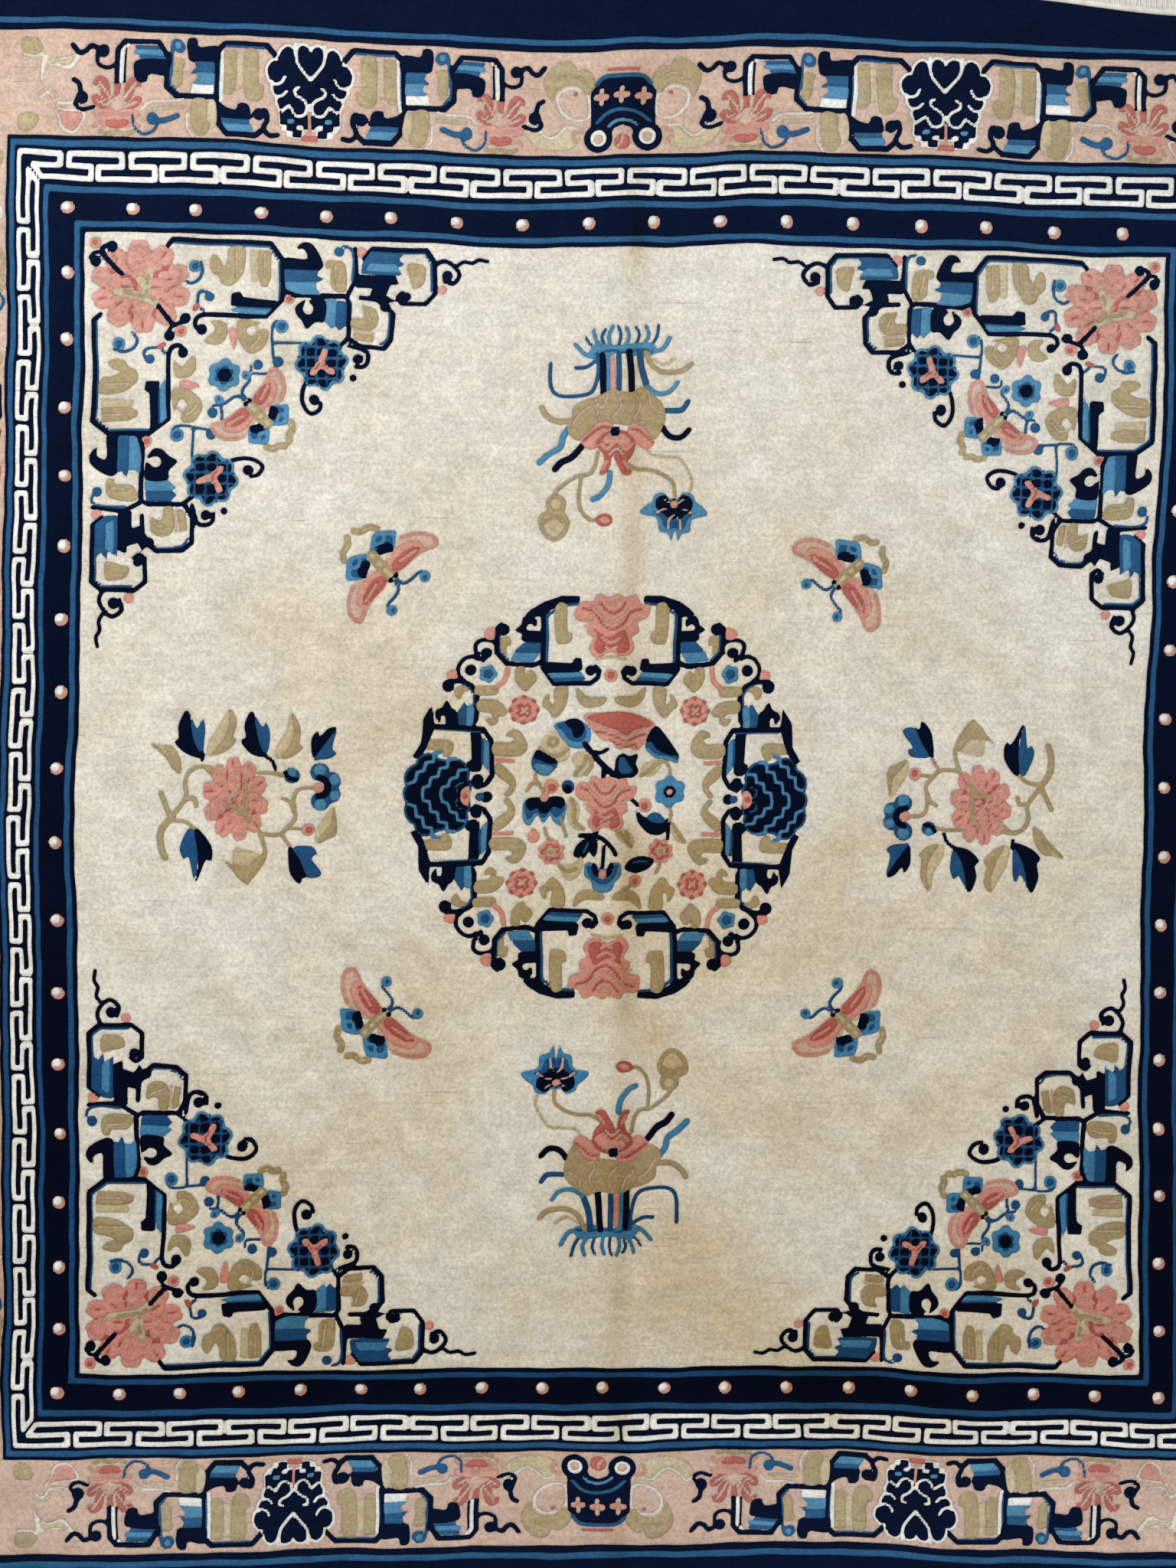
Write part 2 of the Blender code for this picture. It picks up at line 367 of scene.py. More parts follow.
# The main border: on a pale rose ground, palmettes in stepped frames with a lotus at each end, a vase between
# clouds in the middle of each side, and clouds in the corners. A unit is drawn in halves: its own x runs from
# the palmette's middle, its own y out from the band's inner edge.
BORDER_FRAMES = (
    ("block", OLIVE, 0, (-141, 136), (-121, 138), (-121, 80), (-128, 70), (-140, 72)),
    ("block", TAN, 0, (-121, 134), (-106, 134), (-106, 84), (-121, 78)),
    ("area", OLIVE, 0, (-107, 137), (-86, 137), (-85, 92), (-76, 86), (-79, 68), (-95, 63), (-106, 76)),
    ("bent", IVORY, 5, (-143, 134), (-145, 60)),
    ("bent", NAVY, 7.5, (-52, 127), (-72, 148), (-139, 148), (-153, 134), (-153, 31), (-134, 9), (-88, 9),
     (-78, 18)),
    ("bent", ROYAL, 4.5, (-76, 144), (-138, 144)),
    ("bent", ROYAL, 4, (-148, 128), (-148, 62)),
    ("area", NAVY, 0, (-153, 58), (-136, 50), (-120, 48), (-116, 58), (-102, 57), (-98, 44), (-101, 33),
     (-153, 32)),
    ("block", ROYAL, 0, (-146, 34), (-100, 34), (-96, 24), (-139, 23)),
    ("block", SKY, 0, (-140, 25), (-96, 25), (-91, 14), (-131, 13)),
    ("line", NAVY, 6.5, (-82, 48), (-73, 49), (-70, 36), (-76, 22), (-66, 12), (-52, 14)),
    ("dot", NAVY, 9.5, (-84, 43)),
    ("area", OLIVE, 0, (-223, 120), (-206, 121), (-209, 106), (-210, 86), (-222, 80)),
    ("block", IVORY, 0, (-192, 86), (-156, 86), (-156, 71), (-196, 71)),
    ("line", ROYAL, 5.5, (-227, 99), (-226, 132), (-222, 148), (-212, 150)),
    ("dot", ROYAL, 10, (-213, 141)),
    ("dot", SKY, 5, (-215, 143)),
    ("bent", NAVY, 7.5, (-231, 128), (-234, 78), (-219, 65), (-152, 66)),
    ("bent", ROYAL, 4, (-228, 112), (-229, 84), (-218, 71)),
    ("area", NAVY, 0, (-198, 152), (-184, 154), (-180, 142), (-150, 143), (-150, 119), (-192, 119),
     (-199, 130)),
    ("block", ROYAL, 0, (-190, 120), (-155, 120), (-155, 102), (-198, 100), (-186, 110)),
    ("block", SKY, 0, (-186, 103), (-155, 103), (-155, 85), (-195, 84), (-183, 93)),
    ("block", ROYAL, 0, (-286, 139), (-244, 140), (-232, 124), (-232, 114), (-274, 116), (-280, 128)),
    ("bent", SKY, 7, (-282, 129), (-240, 130)),
    ("area", NAVY, 0, (-280, 116), (-234, 119), (-234, 97), (-260, 98), (-266, 86), (-280, 88),
     (-285, 102)),
    ("bent", IVORY, 6.5, (-296, 142), (-304, 132), (-306, 86)),
    ("bent", NAVY, 3.5, (-300, 136), (-301, 84)),
    ("bent", NAVY, 7, (-232, 124), (-246, 146), (-302, 145), (-313, 132), (-313, 84)),
    ("line", NAVY, 6.5, (-384, 137), (-374, 126), (-364, 128), (-356, 136), (-344, 132), (-334, 134)),
    ("dot", NAVY, 9, (-336, 129)),
    ("line", NAVY, 5, (-346, 124), (-344, 111), (-331, 105), (-319, 108), (-312, 116)),
    ("line", NAVY, 6.5, (-382, 86), (-373, 80), (-370, 66), (-368, 57)),
    ("dot", NAVY, 10, (-368, 58)),
    ("line", NAVY, 5, (-376, 56), (-380, 46), (-368, 39), (-350, 44)),
    ("line", ROYAL, 5, (-287, 34), (-284, 16), (-270, 6), (-252, 12), (-246, 24)),
    ("dot", ROYAL, 9.5, (-254, 29)),
    ("line", ROYAL, 9, (-250, 26), (-234, 27), (-216, 34)),
    ("area", TAN, 0, (-166, 58), (-154, 58), (-150, 24), (-164, 14)),
    ("area", OLIVE, 0, (-193, 60), (-170, 60), (-169, 32), (-162, 20), (-170, 6), (-184, 6), (-193, 22)),
    ("line", CREAM, 4.5, (-270, 44), (-258, 54), (-230, 56), (-208, 60)),
    ("line", TAN, 5, (-252, 44), (-230, 46), (-206, 48)),
    ("line", CREAM, 4.2, (-200, 38), (-200, 16), (-190, 2)),
)
# Half of the palmette itself, right of its middle and a little past it
PALMETTE = (
    (-8, 140), (0, 139), (4, 146), (12, 150), (20, 147), (23, 136), (27, 134), (30, 143), (38, 147),
    (47, 142), (52, 131), (53, 125), (61, 124), (69, 113), (67, 99), (60, 91), (60, 84), (56, 76), (50, 72),
    (52, 64), (47, 54), (38, 50), (20, 44), (0, 44), (-8, 44),
)
PALMETTE_FOOT = (
    (-8, 52), (48, 52), (48, 31), (37, 31), (37, 22), (27, 22), (27, 13), (13, 13), (13, 25), (-8, 25),
)
PALMETTE_LINES = (
    ("line", IVORY, 5, (25, 152), (23, 128), (12, 112), (0, 99), (-4, 104)),
    ("line", IVORY, 4.6, (41, 103), (46, 94), (55, 90), (63, 94)),
    ("line", IVORY, 4.6, (37, 80), (44, 73), (52, 72)),
    ("line", IVORY, 4.6, (17, 86), (24, 84), (23, 75), (10, 68), (4, 61), (0, 60)),
    ("line", IVORY, 4.6, (3, 60), (6, 49), (15, 44), (24, 47), (31, 58), (36, 56), (44, 50)),
    ("block", SKY, 0, (24, 40), (36, 40), (36, 33), (24, 33)),
    ("block", IVORY, 0, (10, 31), (21, 31), (21, 24), (10, 24)),
    ("block", IVORY, 0, (38, 29), (46, 29), (46, 22), (38, 22)),
    ("block", IVORY, 0, (28, 20), (37, 20), (37, 13), (28, 13)),
)


def palmette(place):
    """A navy flower of stepped lobes with ivory rims, on a checked foot with a rose slit."""
    halves = (place, beyond(place, MIRROR))
    for half in halves:
        shape(IVORY, PALMETTE, half, 7.5)
        shape(IVORY, PALMETTE_FOOT, half, 4.5, round_=False)
    for half in halves:
        shape(NAVY, PALMETTE, half)
        shape(NAVY, PALMETTE_FOOT, half, round_=False)
    for half in halves:
        draw(PALMETTE_LINES, half)
    draw((
        ("bent", PINK, 4.5, (0, 50), (0, 14)),
        ("block", ROSE, 0, (-14, 7), (14, 7), (13, 16), (-13, 16)),
    ), place)


BORDER_LOTUS = (
    ("area", ROSE, 0, (3, 54), (10, 66), (14, 82), (24, 92), (36, 89), (39, 79), (30, 77), (26, 66),
     (18, 56)),
    ("area", ROSE, 0, (-4, 62), (4, 72), (6, 84), (0, 92), (-4, 90)),
    ("area", ROSE, 0, (8, 46), (20, 54), (32, 64), (41, 60), (38, 50), (28, 44), (16, 40)),
    ("area", PINK, 0, (-4, 34), (8, 42), (22, 42), (35, 40), (36, 32), (24, 28), (10, 26), (-4, 24)),
    ("area", ROSE, 0, (-4, 23), (8, 27), (20, 23), (14, 15), (-4, 13)),
    ("line", PINK, 4.5, (19, 17), (28, 22), (35, 15)),
    ("line", BLUSH, 4.4, (3, 52), (12, 60), (20, 72), (30, 84)),
    ("line", BLUSH, 4.4, (2, 44), (16, 47), (32, 55)),
    ("line", BLUSH, 4.4, (0, 33), (12, 34), (26, 35)),
    ("line", OLIVE, 5, (2, 7), (14, 4), (26, 8)),
)
VASE = (
    ("block", NAVY, 0, (-49, 46), (-49, 100), (-41, 108), (-29, 123), (29, 123), (41, 108), (49, 100),
     (49, 46), (36, 34), (22, 28), (13, 42), (0, 47), (-13, 42), (-22, 28), (-36, 34)),
    ("line", ROYAL, 7, (-42, 110), (-31, 121), (-16, 124), (16, 124), (31, 121), (42, 110)),
    ("line", ROSE, 5, (-24, 133), (0, 134), (24, 133)),
    ("line", ROYAL, 7, (-42, 48), (-24, 64), (0, 70), (24, 65), (43, 49)),
    ("line", SKY, 5, (-27, 38), (-14, 50), (2, 54), (18, 49), (29, 36)),
    ("dot", NAVY, 21.5, (-37, 27)),
    ("dot", NAVY, 21.5, (37, 27)),
    ("dot", IVORY, 12.5, (-37, 27)),
    ("dot", IVORY, 12.5, (37, 27)),
    ("dot", BLUSH, 8, (-37, 26)),
    ("dot", BLUSH, 8, (37, 26)),
    ("dot", ROSE, 12.5, (0, 20)),
    ("line", PINK, 4.5, (-6, 14), (0, 22), (0, 28)),
)


def vase(place):
    """The vase with its ring handles, and three crosses on its belly."""
    draw(VASE, place)
    for x, y in ((-32, 91), (0, 94), (32, 91)):
        draw((
            ("bent", BLUSH, 8.5, (x, y - 11), (x, y + 11)),
            ("bent", PINK, 10, (x - 8, y), (x + 8, y)),
            ("dot", BLUSH, 3.5, (x, y)),
        ), place)


# Cloud scrolls beside the vase: an olive cap, and paler ones under it that hardly differ from the ground
CLOUD = (
    ("area", TAN, 0, (152, 42), (140, 52), (128, 38), (112, 28), (98, 34), (86, 46), (70, 44), (64, 30),
     (74, 14), (100, 8), (128, 12), (146, 26)),
    ("line", CREAM, 4.4, (152, 42), (140, 52), (128, 38), (112, 28), (98, 34), (86, 46), (70, 44)),
    ("area", CREAM, 0, (50, 60), (50, 92), (66, 106), (88, 108), (102, 96), (102, 78), (90, 62), (70, 54)),
    ("area", BLUSH, 0, (55, 62), (55, 90), (68, 101), (86, 103), (97, 94), (97, 80), (86, 66), (70, 59)),
    ("area", OLIVE, 0, (44, 112), (48, 124), (57, 134), (66, 136), (72, 131), (78, 143), (91, 148),
     (106, 140), (118, 126), (120, 112), (113, 94), (107, 88), (103, 102), (92, 110), (76, 112), (64, 104),
     (54, 96)),
    ("line", TAN, 4, (60, 118), (78, 126), (98, 122)),
    ("line", PINK, 4, (60, 40), (74, 34), (70, 22)),
    ("dot", ROSE, 3.5, (73, 97)),
)
# Cloud scrolls that fill a corner of the main border, on either side of its mitre
CORNER_CLOUDS = (
    ("area", CREAM, 0, (2, 74), (10, 96), (30, 106), (54, 100), (66, 112), (74, 126), (54, 120), (34, 118),
     (8, 122)),
    ("area", TAN, 0, (6, 84), (14, 100), (30, 110), (52, 106), (64, 122), (44, 114), (20, 118)),
    ("area", OLIVE, 0, (-30, 146), (-2, 146), (10, 130), (-4, 124), (-30, 126)),
    ("line", CREAM, 4.5, (-30, 122), (-4, 120), (8, 126), (14, 110)),
    ("area", OLIVE, 0, (-40, 12), (-26, 6), (-8, 14), (-2, 28), (-18, 34), (-40, 30)),
    ("area", CREAM, 0, (20, 46), (34, 30), (40, 10), (60, 4), (74, 18), (80, 34), (66, 38), (40, 40)),
    ("area", PINK, 0, (28, 42), (38, 30), (44, 14), (60, 9), (70, 20), (74, 32), (62, 34), (42, 36)),
    ("line", TAN, 5, (0, 62), (20, 70), (34, 60)),
    ("line", CREAM, 4.5, (0, 56), (18, 64), (30, 52), (44, 48), (60, 50)),
)

# Where the main border's motifs stand on each side, read along it from its left end as seen from the field:
# the two palmettes with their units' share of the full length, and the vase. Then where the band starts, how
# far past the field's corner a corner's clouds lie, and where a lotus stands along a unit.
MAIN_BAND = 142.0
CORNER_CLOUDS_PAST = 78.0
LOTUS_ALONG = -312.0
BORDER_PLACES = (
    ((-498.0, 0.94), (486.0, 1.0), -16.0),
    ((-485.0, 0.94), (503.0, 0.92), 24.0),
    ((-512.0, 0.99), (512.0, 0.99), 0.0),
    ((-512.0, 0.99), (512.0, 0.99), 0.0),
)
MIRROR = (np.diag([-1.0, 1.0]), np.zeros(2))
for (side_place, half), (*palmettes, vase_at) in zip(SIDES, BORDER_PLACES):
    here = beyond(side_place, placed(vase_at, MAIN_BAND))
    draw(CLOUD, here)
    draw(CLOUD, beyond(here, MIRROR))
    vase(here)
    for end in (-1.0, 1.0):
        corner_at = placed(end * (half + CORNER_CLOUDS_PAST), MAIN_BAND, 0.0, -end, 1.0)
        draw(CORNER_CLOUDS, beyond(side_place, corner_at))
    for middle, share in palmettes:
        here = beyond(side_place, placed(middle, MAIN_BAND, 0.0, share, 1.0))
        for unit in (here, beyond(here, MIRROR)):
            lotus_at = beyond(unit, placed(LOTUS_ALONG, 0.0))
            draw(BORDER_LOTUS, lotus_at)
            draw(BORDER_LOTUS, beyond(lotus_at, MIRROR))
            draw(BORDER_FRAMES, unit)
        palmette(here)

# The peonies of the spandrels and the field, seen from the front: rings of ruffled petals tied from the rim
# inwards, each petal rose at its root and pink outside it. Each row: a ring's distance from the middle, its
# petals, its turn in degrees and a petal's size; lengths are shares of the flower's half width.
PEONY_RINGS = (
    (0.76, 10, 5.0, 0.29),
    (0.50, 7, 25.0, 0.27),
    (0.25, 4, -10.0, 0.25),
    (0.0, 1, 0.0, 0.19),
)
# A pale curl across every other petal, out along it and aside, in shares of its size
PETAL_CURL = ((0.30, -0.6), (0.62, 0.0), (0.30, 0.6))


def peony(middle, half_width, half_height, place, turn):
    """Rings of petals in a circle, stretched to the flower's half width and half height."""
    flat = beyond(place, (np.diag([half_width, half_height]), np.array(middle)))
    dot(PINK, (0.0, 0.0), 0.80, flat)
    for ring_at, petals, first, size in PEONY_RINGS:
        for number in range(petals):
            angle = turn + first + 360.0 * number / petals
            petal = beyond(flat, placed(0.0, 0.0, angle))
            dot(ROSE, (ring_at, 0.0), size, petal, 5, 0.14)
            dot(PINK, (ring_at + 0.075, 0.0), size * 0.84, petal, 5, 0.16)
            if number % 2:
                curl = [(ring_at + size * out, size * aside) for out, aside in PETAL_CURL]
                shape(BLUSH, curl, petal, 4.2, closed=False)
            else:
                shape(ROSE, [(ring_at, 0.0), (ring_at + size * 0.7, 0.02)], petal, 4.2, closed=False)


# The corner spandrels: a peony in the corner, stepped frames along both edges, and flowers and a butterfly in
# the angle. Half of one is drawn, its own x inwards along the top of the field from the corner, its own y
# inwards from the top edge, and the other half is the same across the diagonal.
SPANDREL = (
    ("bent", NAVY, 6, (123, 24), (132, 12), (281, 13), (300, 38), (300, 99), (277, 128), (180, 127)),
    ("bent", ROYAL, 4, (133, 17), (279, 18), (295, 40), (295, 98)),
    ("line", NAVY, 6, (180, 127), (170, 131), (167, 142), (173, 150)),
    ("dot", NAVY, 7.5, (177, 149)),
    ("block", OLIVE, 0, (263, 24), (282, 26), (281, 64), (275, 80), (266, 78), (262, 60)),
    ("block", TAN, 0, (249, 24), (262, 24), (261, 72), (251, 74)),
    ("area", OLIVE, 0, (241, 22), (219, 22), (215, 40), (208, 52), (203, 40), (195, 33), (189, 44),
     (191, 60), (201, 66), (206, 77), (220, 80), (232, 68), (240, 52)),
    ("bent", TAN, 5, (228, 26), (228, 66)),
    ("bent", BLUSH, 4.4, (272, 28), (272, 60)),
    ("dot", SKY, 9.5, (166, 52)),
    ("dot", ROYAL, 6.0, (166, 52)),
    ("line", ROYAL, 5, (174, 44), (177, 58), (172, 73), (160, 79), (149, 72)),
    ("dot", ROYAL, 7.5, (188, 99)),
    ("line", ROYAL, 5, (188, 93), (176, 90), (171, 98), (171, 113), (179, 121)),
    ("block", NAVY, 0, (292, 101), (240, 99), (235, 91), (222, 93), (221, 113), (289, 112)),
    ("block", ROYAL, 0, (289, 112), (234, 112), (226, 117), (282, 118)),
    ("block", SKY, 0, (285, 116), (228, 116), (217, 121), (277, 125)),
    ("dot", PINK, 8, (311, 97)),
    ("dot", ROSE, 5, (311, 97)),
    ("line", ROSE, 8, (169, 112), (166, 118)),
    ("bent", NAVY, 6, (411, 14), (413, 62), (399, 88), (319, 91), (300, 82)),
    ("line", ROYAL, 5, (407, 64), (409, 30), (404, 14), (394, 11)),
    ("dot", ROYAL, 8, (386, 20)),
    ("area", OLIVE, 0, (390, 36), (368, 36), (367, 48), (374, 48), (376, 76), (392, 83), (398, 74),
     (397, 50)),
    ("bent", TAN, 5, (380, 42), (384, 74)),
    ("area", NAVY, 0, (361, 40), (347, 14), (332, 10), (321, 20), (332, 20), (338, 30), (334, 36),
     (301, 36), (302, 52), (340, 54), (356, 52)),
    ("block", ROYAL, 0, (356, 51), (302, 51), (302, 70), (352, 70), (366, 66), (354, 60)),
    ("block", SKY, 0, (352, 70), (303, 70), (306, 82), (330, 89), (360, 88), (352, 80)),
    ("dot", PINK, 8, (422, 20)),
    ("bent", ROYAL, 5, (399, 91), (404, 98), (403, 148), (389, 168)),
    ("bent", NAVY, 5, (397, 88), (402, 100), (402, 150), (380, 180)),
    ("block", ROYAL, 0, (397, 96), (382, 95), (381, 133), (388, 142), (397, 134)),
    ("block", SKY, 0, (382, 95), (366, 95), (366, 128), (378, 141), (382, 134)),
    ("area", NAVY, 0, (366, 97), (342, 97), (349, 108), (346, 118), (337, 119), (332, 111), (335, 98),
     (322, 108), (323, 120), (332, 130), (339, 142), (352, 130), (366, 128)),
    ("line", CREAM, 5, (391, 144), (377, 152), (364, 164)),
    ("line", ROYAL, 4.5, (339, 164), (310, 165), (290, 164), (287, 150), (289, 138), (295, 133)),
    ("dot", SKY, 10, (301, 141)),
    ("dot", ROYAL, 6.5, (301, 141)),
    ("line", ROYAL, 4.5, (289, 165), (290, 190), (290, 207), (277, 212), (256, 211), (254, 200)),
    ("dot", ROYAL, 8, (297, 193)),
    ("dot", ROYAL, 8, (265, 198)),
    ("line", NAVY, 5.5, (342, 214), (333, 232), (331, 256), (342, 272), (356, 265), (359, 254)),
    ("dot", NAVY, 8, (349, 250)),
    ("line", NAVY, 5.5, (403, 164), (429, 172), (433, 186), (427, 196), (416, 197)),
    ("dot", NAVY, 7.5, (418, 185)),
    ("bent", NAVY, 6, (402, 152), (420, 164), (458, 165), (470, 150), (472, 112), (455, 92), (420, 90)),
    ("line", ROYAL, 4, (452, 159), (464, 148), (466, 112), (452, 97)),
    ("area", OLIVE, 0, (443, 106), (423, 103), (426, 112), (424, 120), (408, 122), (408, 134), (439, 136),
     (449, 122)),
    ("block", OLIVE, 0, (442, 146), (408, 143), (413, 153), (440, 157)),
    ("bent", BLUSH, 5, (410, 139), (442, 141)),
    ("bent", TAN, 5, (430, 108), (438, 130)),
    ("dot", NAVY, 7.5, (459, 101)),
    ("dot", NAVY, 5, (412, 214)),
    ("area", OLIVE, 0, (268, 138), (234, 134), (233, 160), (252, 182), (277, 170), (281, 150), (268, 148),
     (256, 158), (246, 150), (254, 142)),
    ("area", OLIVE, 0, (213, 140), (190, 136), (198, 149), (181, 165), (200, 170), (213, 160)),
    ("area", PINK, 0, (232, 150), (218, 148), (226, 178)),
    ("line", TAN, 5, (262, 142), (268, 160), (254, 174)),
    ("bent", NAVY, 6, (425, 28), (438, 13), (520, 14), (533, 30), (534, 78), (520, 95), (484, 95)),
    ("bent", ROYAL, 4, (436, 18), (518, 19), (528, 33), (528, 74)),
    ("block", ROYAL, 0, (420, 52), (422, 34), (434, 18), (486, 18), (478, 28), (490, 36), (474, 38),
     (484, 52)),
    ("block", SKY, 0, (428, 46), (434, 34), (472, 34), (480, 46)),
    ("block", NAVY, 0, (414, 54), (472, 52), (478, 66), (466, 66), (460, 84), (474, 92), (450, 98),
     (436, 86), (440, 74), (414, 74)),
    ("area", OLIVE, 0, (516, 36), (492, 34), (494, 52), (500, 70), (514, 64), (518, 50)),
    ("line", NAVY, 5.5, (484, 95), (478, 86), (484, 78)),
    ("dot", NAVY, 7, (490, 84)),
    ("line", NAVY, 5.5, (533, 34), (548, 28), (562, 34), (572, 48), (562, 62), (548, 58)),
    ("dot", NAVY, 8, (553, 50)),
    ("line", NAVY, 5, (566, 36), (578, 28), (592, 30), (602, 24), (616, 26)),
    ("dot", PINK, 7, (545, 72)),
)
SPANDREL_DIAGONAL = (
    ("bent", NAVY, 7, (56, 64), (24, 32)),
    ("line", NAVY, 5, (26, 34), (26, 26), (34, 22), (40, 26)),
    ("dot", NAVY, 8, (40, 24)),
    ("line", NAVY, 5, (24, 32), (14, 34), (8, 42)),
    ("dot", NAVY, 8, (16, 46)),
    ("dot", PINK, 9, (15, 19)),
    ("dot", ROSE, 5, (14, 18)),
    ("bent", NAVY, 7, (110, 114), (134, 142)),
    ("line", NAVY, 5, (134, 142), (150, 136), (154, 132)),
    ("dot", NAVY, 8, (152, 132)),
    ("line", NAVY, 5, (132, 142), (126, 152), (128, 158)),
    ("dot", NAVY, 8, (127, 158)),
    ("dot", PINK, 9, (145, 151)),
    ("dot", ROSE, 5, (146, 152)),
)


def plaid_flower(middle, radius, place, turn):
    """A navy flower with a blue rim, crossed by blue threads like a plaid, and a coral fork at its heart."""
    dot(SKY, middle, radius + 4, place, 8, 0.16, turn)
    dot(NAVY, middle, radius, place, 8, 0.20, turn)
    level = beyond(place, placed(*middle))
    for at in (-24.0, -8.0, 8.0, 24.0):
        reach = 0.94 * math.sqrt(radius**2 - at**2)
        for thread in (((at, -reach), (at, reach)), ((-reach, at), (reach, at))):
            shape(ROYAL, thread, level, 5, closed=False)
    here = beyond(place, placed(*middle, turn))
    draw((
        ("bent", PINK, 9, (-20, 5), (-2, 0), (8, 20)),
        ("bent", PINK, 9, (-2, 0), (13, -13)),
        ("line", ROSE, 4.2, (-14, 3), (-2, 0), (6, 12)),
    ), here)


def small_flower(middle, radius, place=STRAIGHT, petals=6, rim=ROYAL, heart=NAVY, eye=PINK):
    """A blue flower with a rim, a heart and an eye inside it, each smaller than the last."""
    dot(SKY, middle, radius, place, petals, 0.20)
    dot(rim, middle, radius * 0.62, place, petals, 0.2)
    dot(heart, middle, radius * 0.40, place, petals, 0.1, 30.0)
    dot(eye, middle, radius * 0.20, place)


# A butterfly, half of it: its own x runs towards its head, its own y to its left
BUTTERFLY = (
    ("area", BLUSH, 0, (18, 12), (30, 42), (40, 95), (21, 99), (0, 82), (-12, 55), (-8, 20), (2, 8)),
    ("line", PINK, 4.4, (26, 58), (38, 80), (39, 94), (22, 98), (2, 82), (-10, 58)),
    ("area", PINK, 0, (26, 9), (31, 42), (30, 72), (12, 72), (-2, 44), (0, 16), (6, 6)),
    ("area", ROSE, 0, (25, 11), (30, 42), (28, 68), (16, 60), (8, 36), (10, 12)),
    ("line", PINK, 4.2, (16, 26), (20, 44), (24, 60)),
    ("area", SKY, 0, (-25, 57), (-37, 44), (-47, 30), (-38, 12), (-28, 2), (-19, 2), (-14, 16), (-6, 32),
     (-16, 48)),
    ("area", ROYAL, 0, (-24, 46), (-36, 34), (-38, 22), (-26, 8), (-16, 10), (-12, 20), (-8, 34),
     (-16, 42)),
    ("area", NAVY, 0, (-5, 31), (-16, 36), (-28, 24), (-24, 12), (-15, 12), (-10, 22)),
    ("line", SKY, 4.4, (-34, 38), (-26, 28), (-32, 18)),
    ("line", OLIVE, 9.5, (-50, 37), (-61, 29), (-64, 15), (-72, 8)),
    ("line", TAN, 4.2, (-53, 34), (-60, 28), (-63, 16)),
    ("line", ROYAL, 5, (30, 2), (47, 6), (52, 21), (53, 36), (61, 45)),
    ("dot", SKY, 9, (65, 39)),
    ("dot", ROYAL, 4.5, (66, 38)),
)


def butterfly(place):
    """Both halves of a butterfly, and its banded body over them."""
    for half in (place, beyond(place, (np.diag([1.0, -1.0]), np.zeros(2)))):
        draw(BUTTERFLY, half)
    draw((
        ("bent", OLIVE, 15, (-24, 0), (24, 0)),
        ("bent", TAN, 8, (-25, 0), (25, 0)),
        ("bent", OLIVE, 4, (-14, -4), (-14, 4)),
        ("bent", OLIVE, 4, (2, -4), (2, 4)),
        ("dot", NAVY, 4, (28, -6)),
        ("dot", NAVY, 4, (28, 6)),
    ), place)


# The field corners that the spandrels are drawn from, and how much longer they are down the sides
SPANDREL_AT = (838.0, 888.0)
SPANDREL_LONG = 1.035
for sign_x in (-1.0, 1.0):
    for sign_y in (-1.0, 1.0):
        corner = np.array([sign_x * SPANDREL_AT[0], sign_y * SPANDREL_AT[1]])
        upper = (np.diag([-sign_x, -sign_y]), corner)
        lower = (np.array([[0.0, -sign_x], [-sign_y * SPANDREL_LONG, 0.0]]), corner)
        for half in (upper, lower):
            draw(SPANDREL, half)
            plaid_flower((363, 193), 38, half, -30.0)
        peony((84, 84), 72, 66, upper, 10.0)
        draw((
            ("line", TAN, 13, (108, 112), (92, 96), (98, 60)),
            ("line", TAN, 13, (108, 112), (92, 100), (48, 92)),
            ("line", OLIVE, 4.5, (104, 104), (92, 92), (96, 66)),
            ("line", OLIVE, 4.5, (88, 98), (60, 92)),
            ("line", TAN, 11, (90, 84), (82, 72)),
        ), upper)
        draw(SPANDREL_DIAGONAL, upper)
        small_flower((213, 216), 25, upper, eye=NAVY)
        butterfly(beyond(upper, placed(266, 274, 225.0, 0.86, 0.70)))

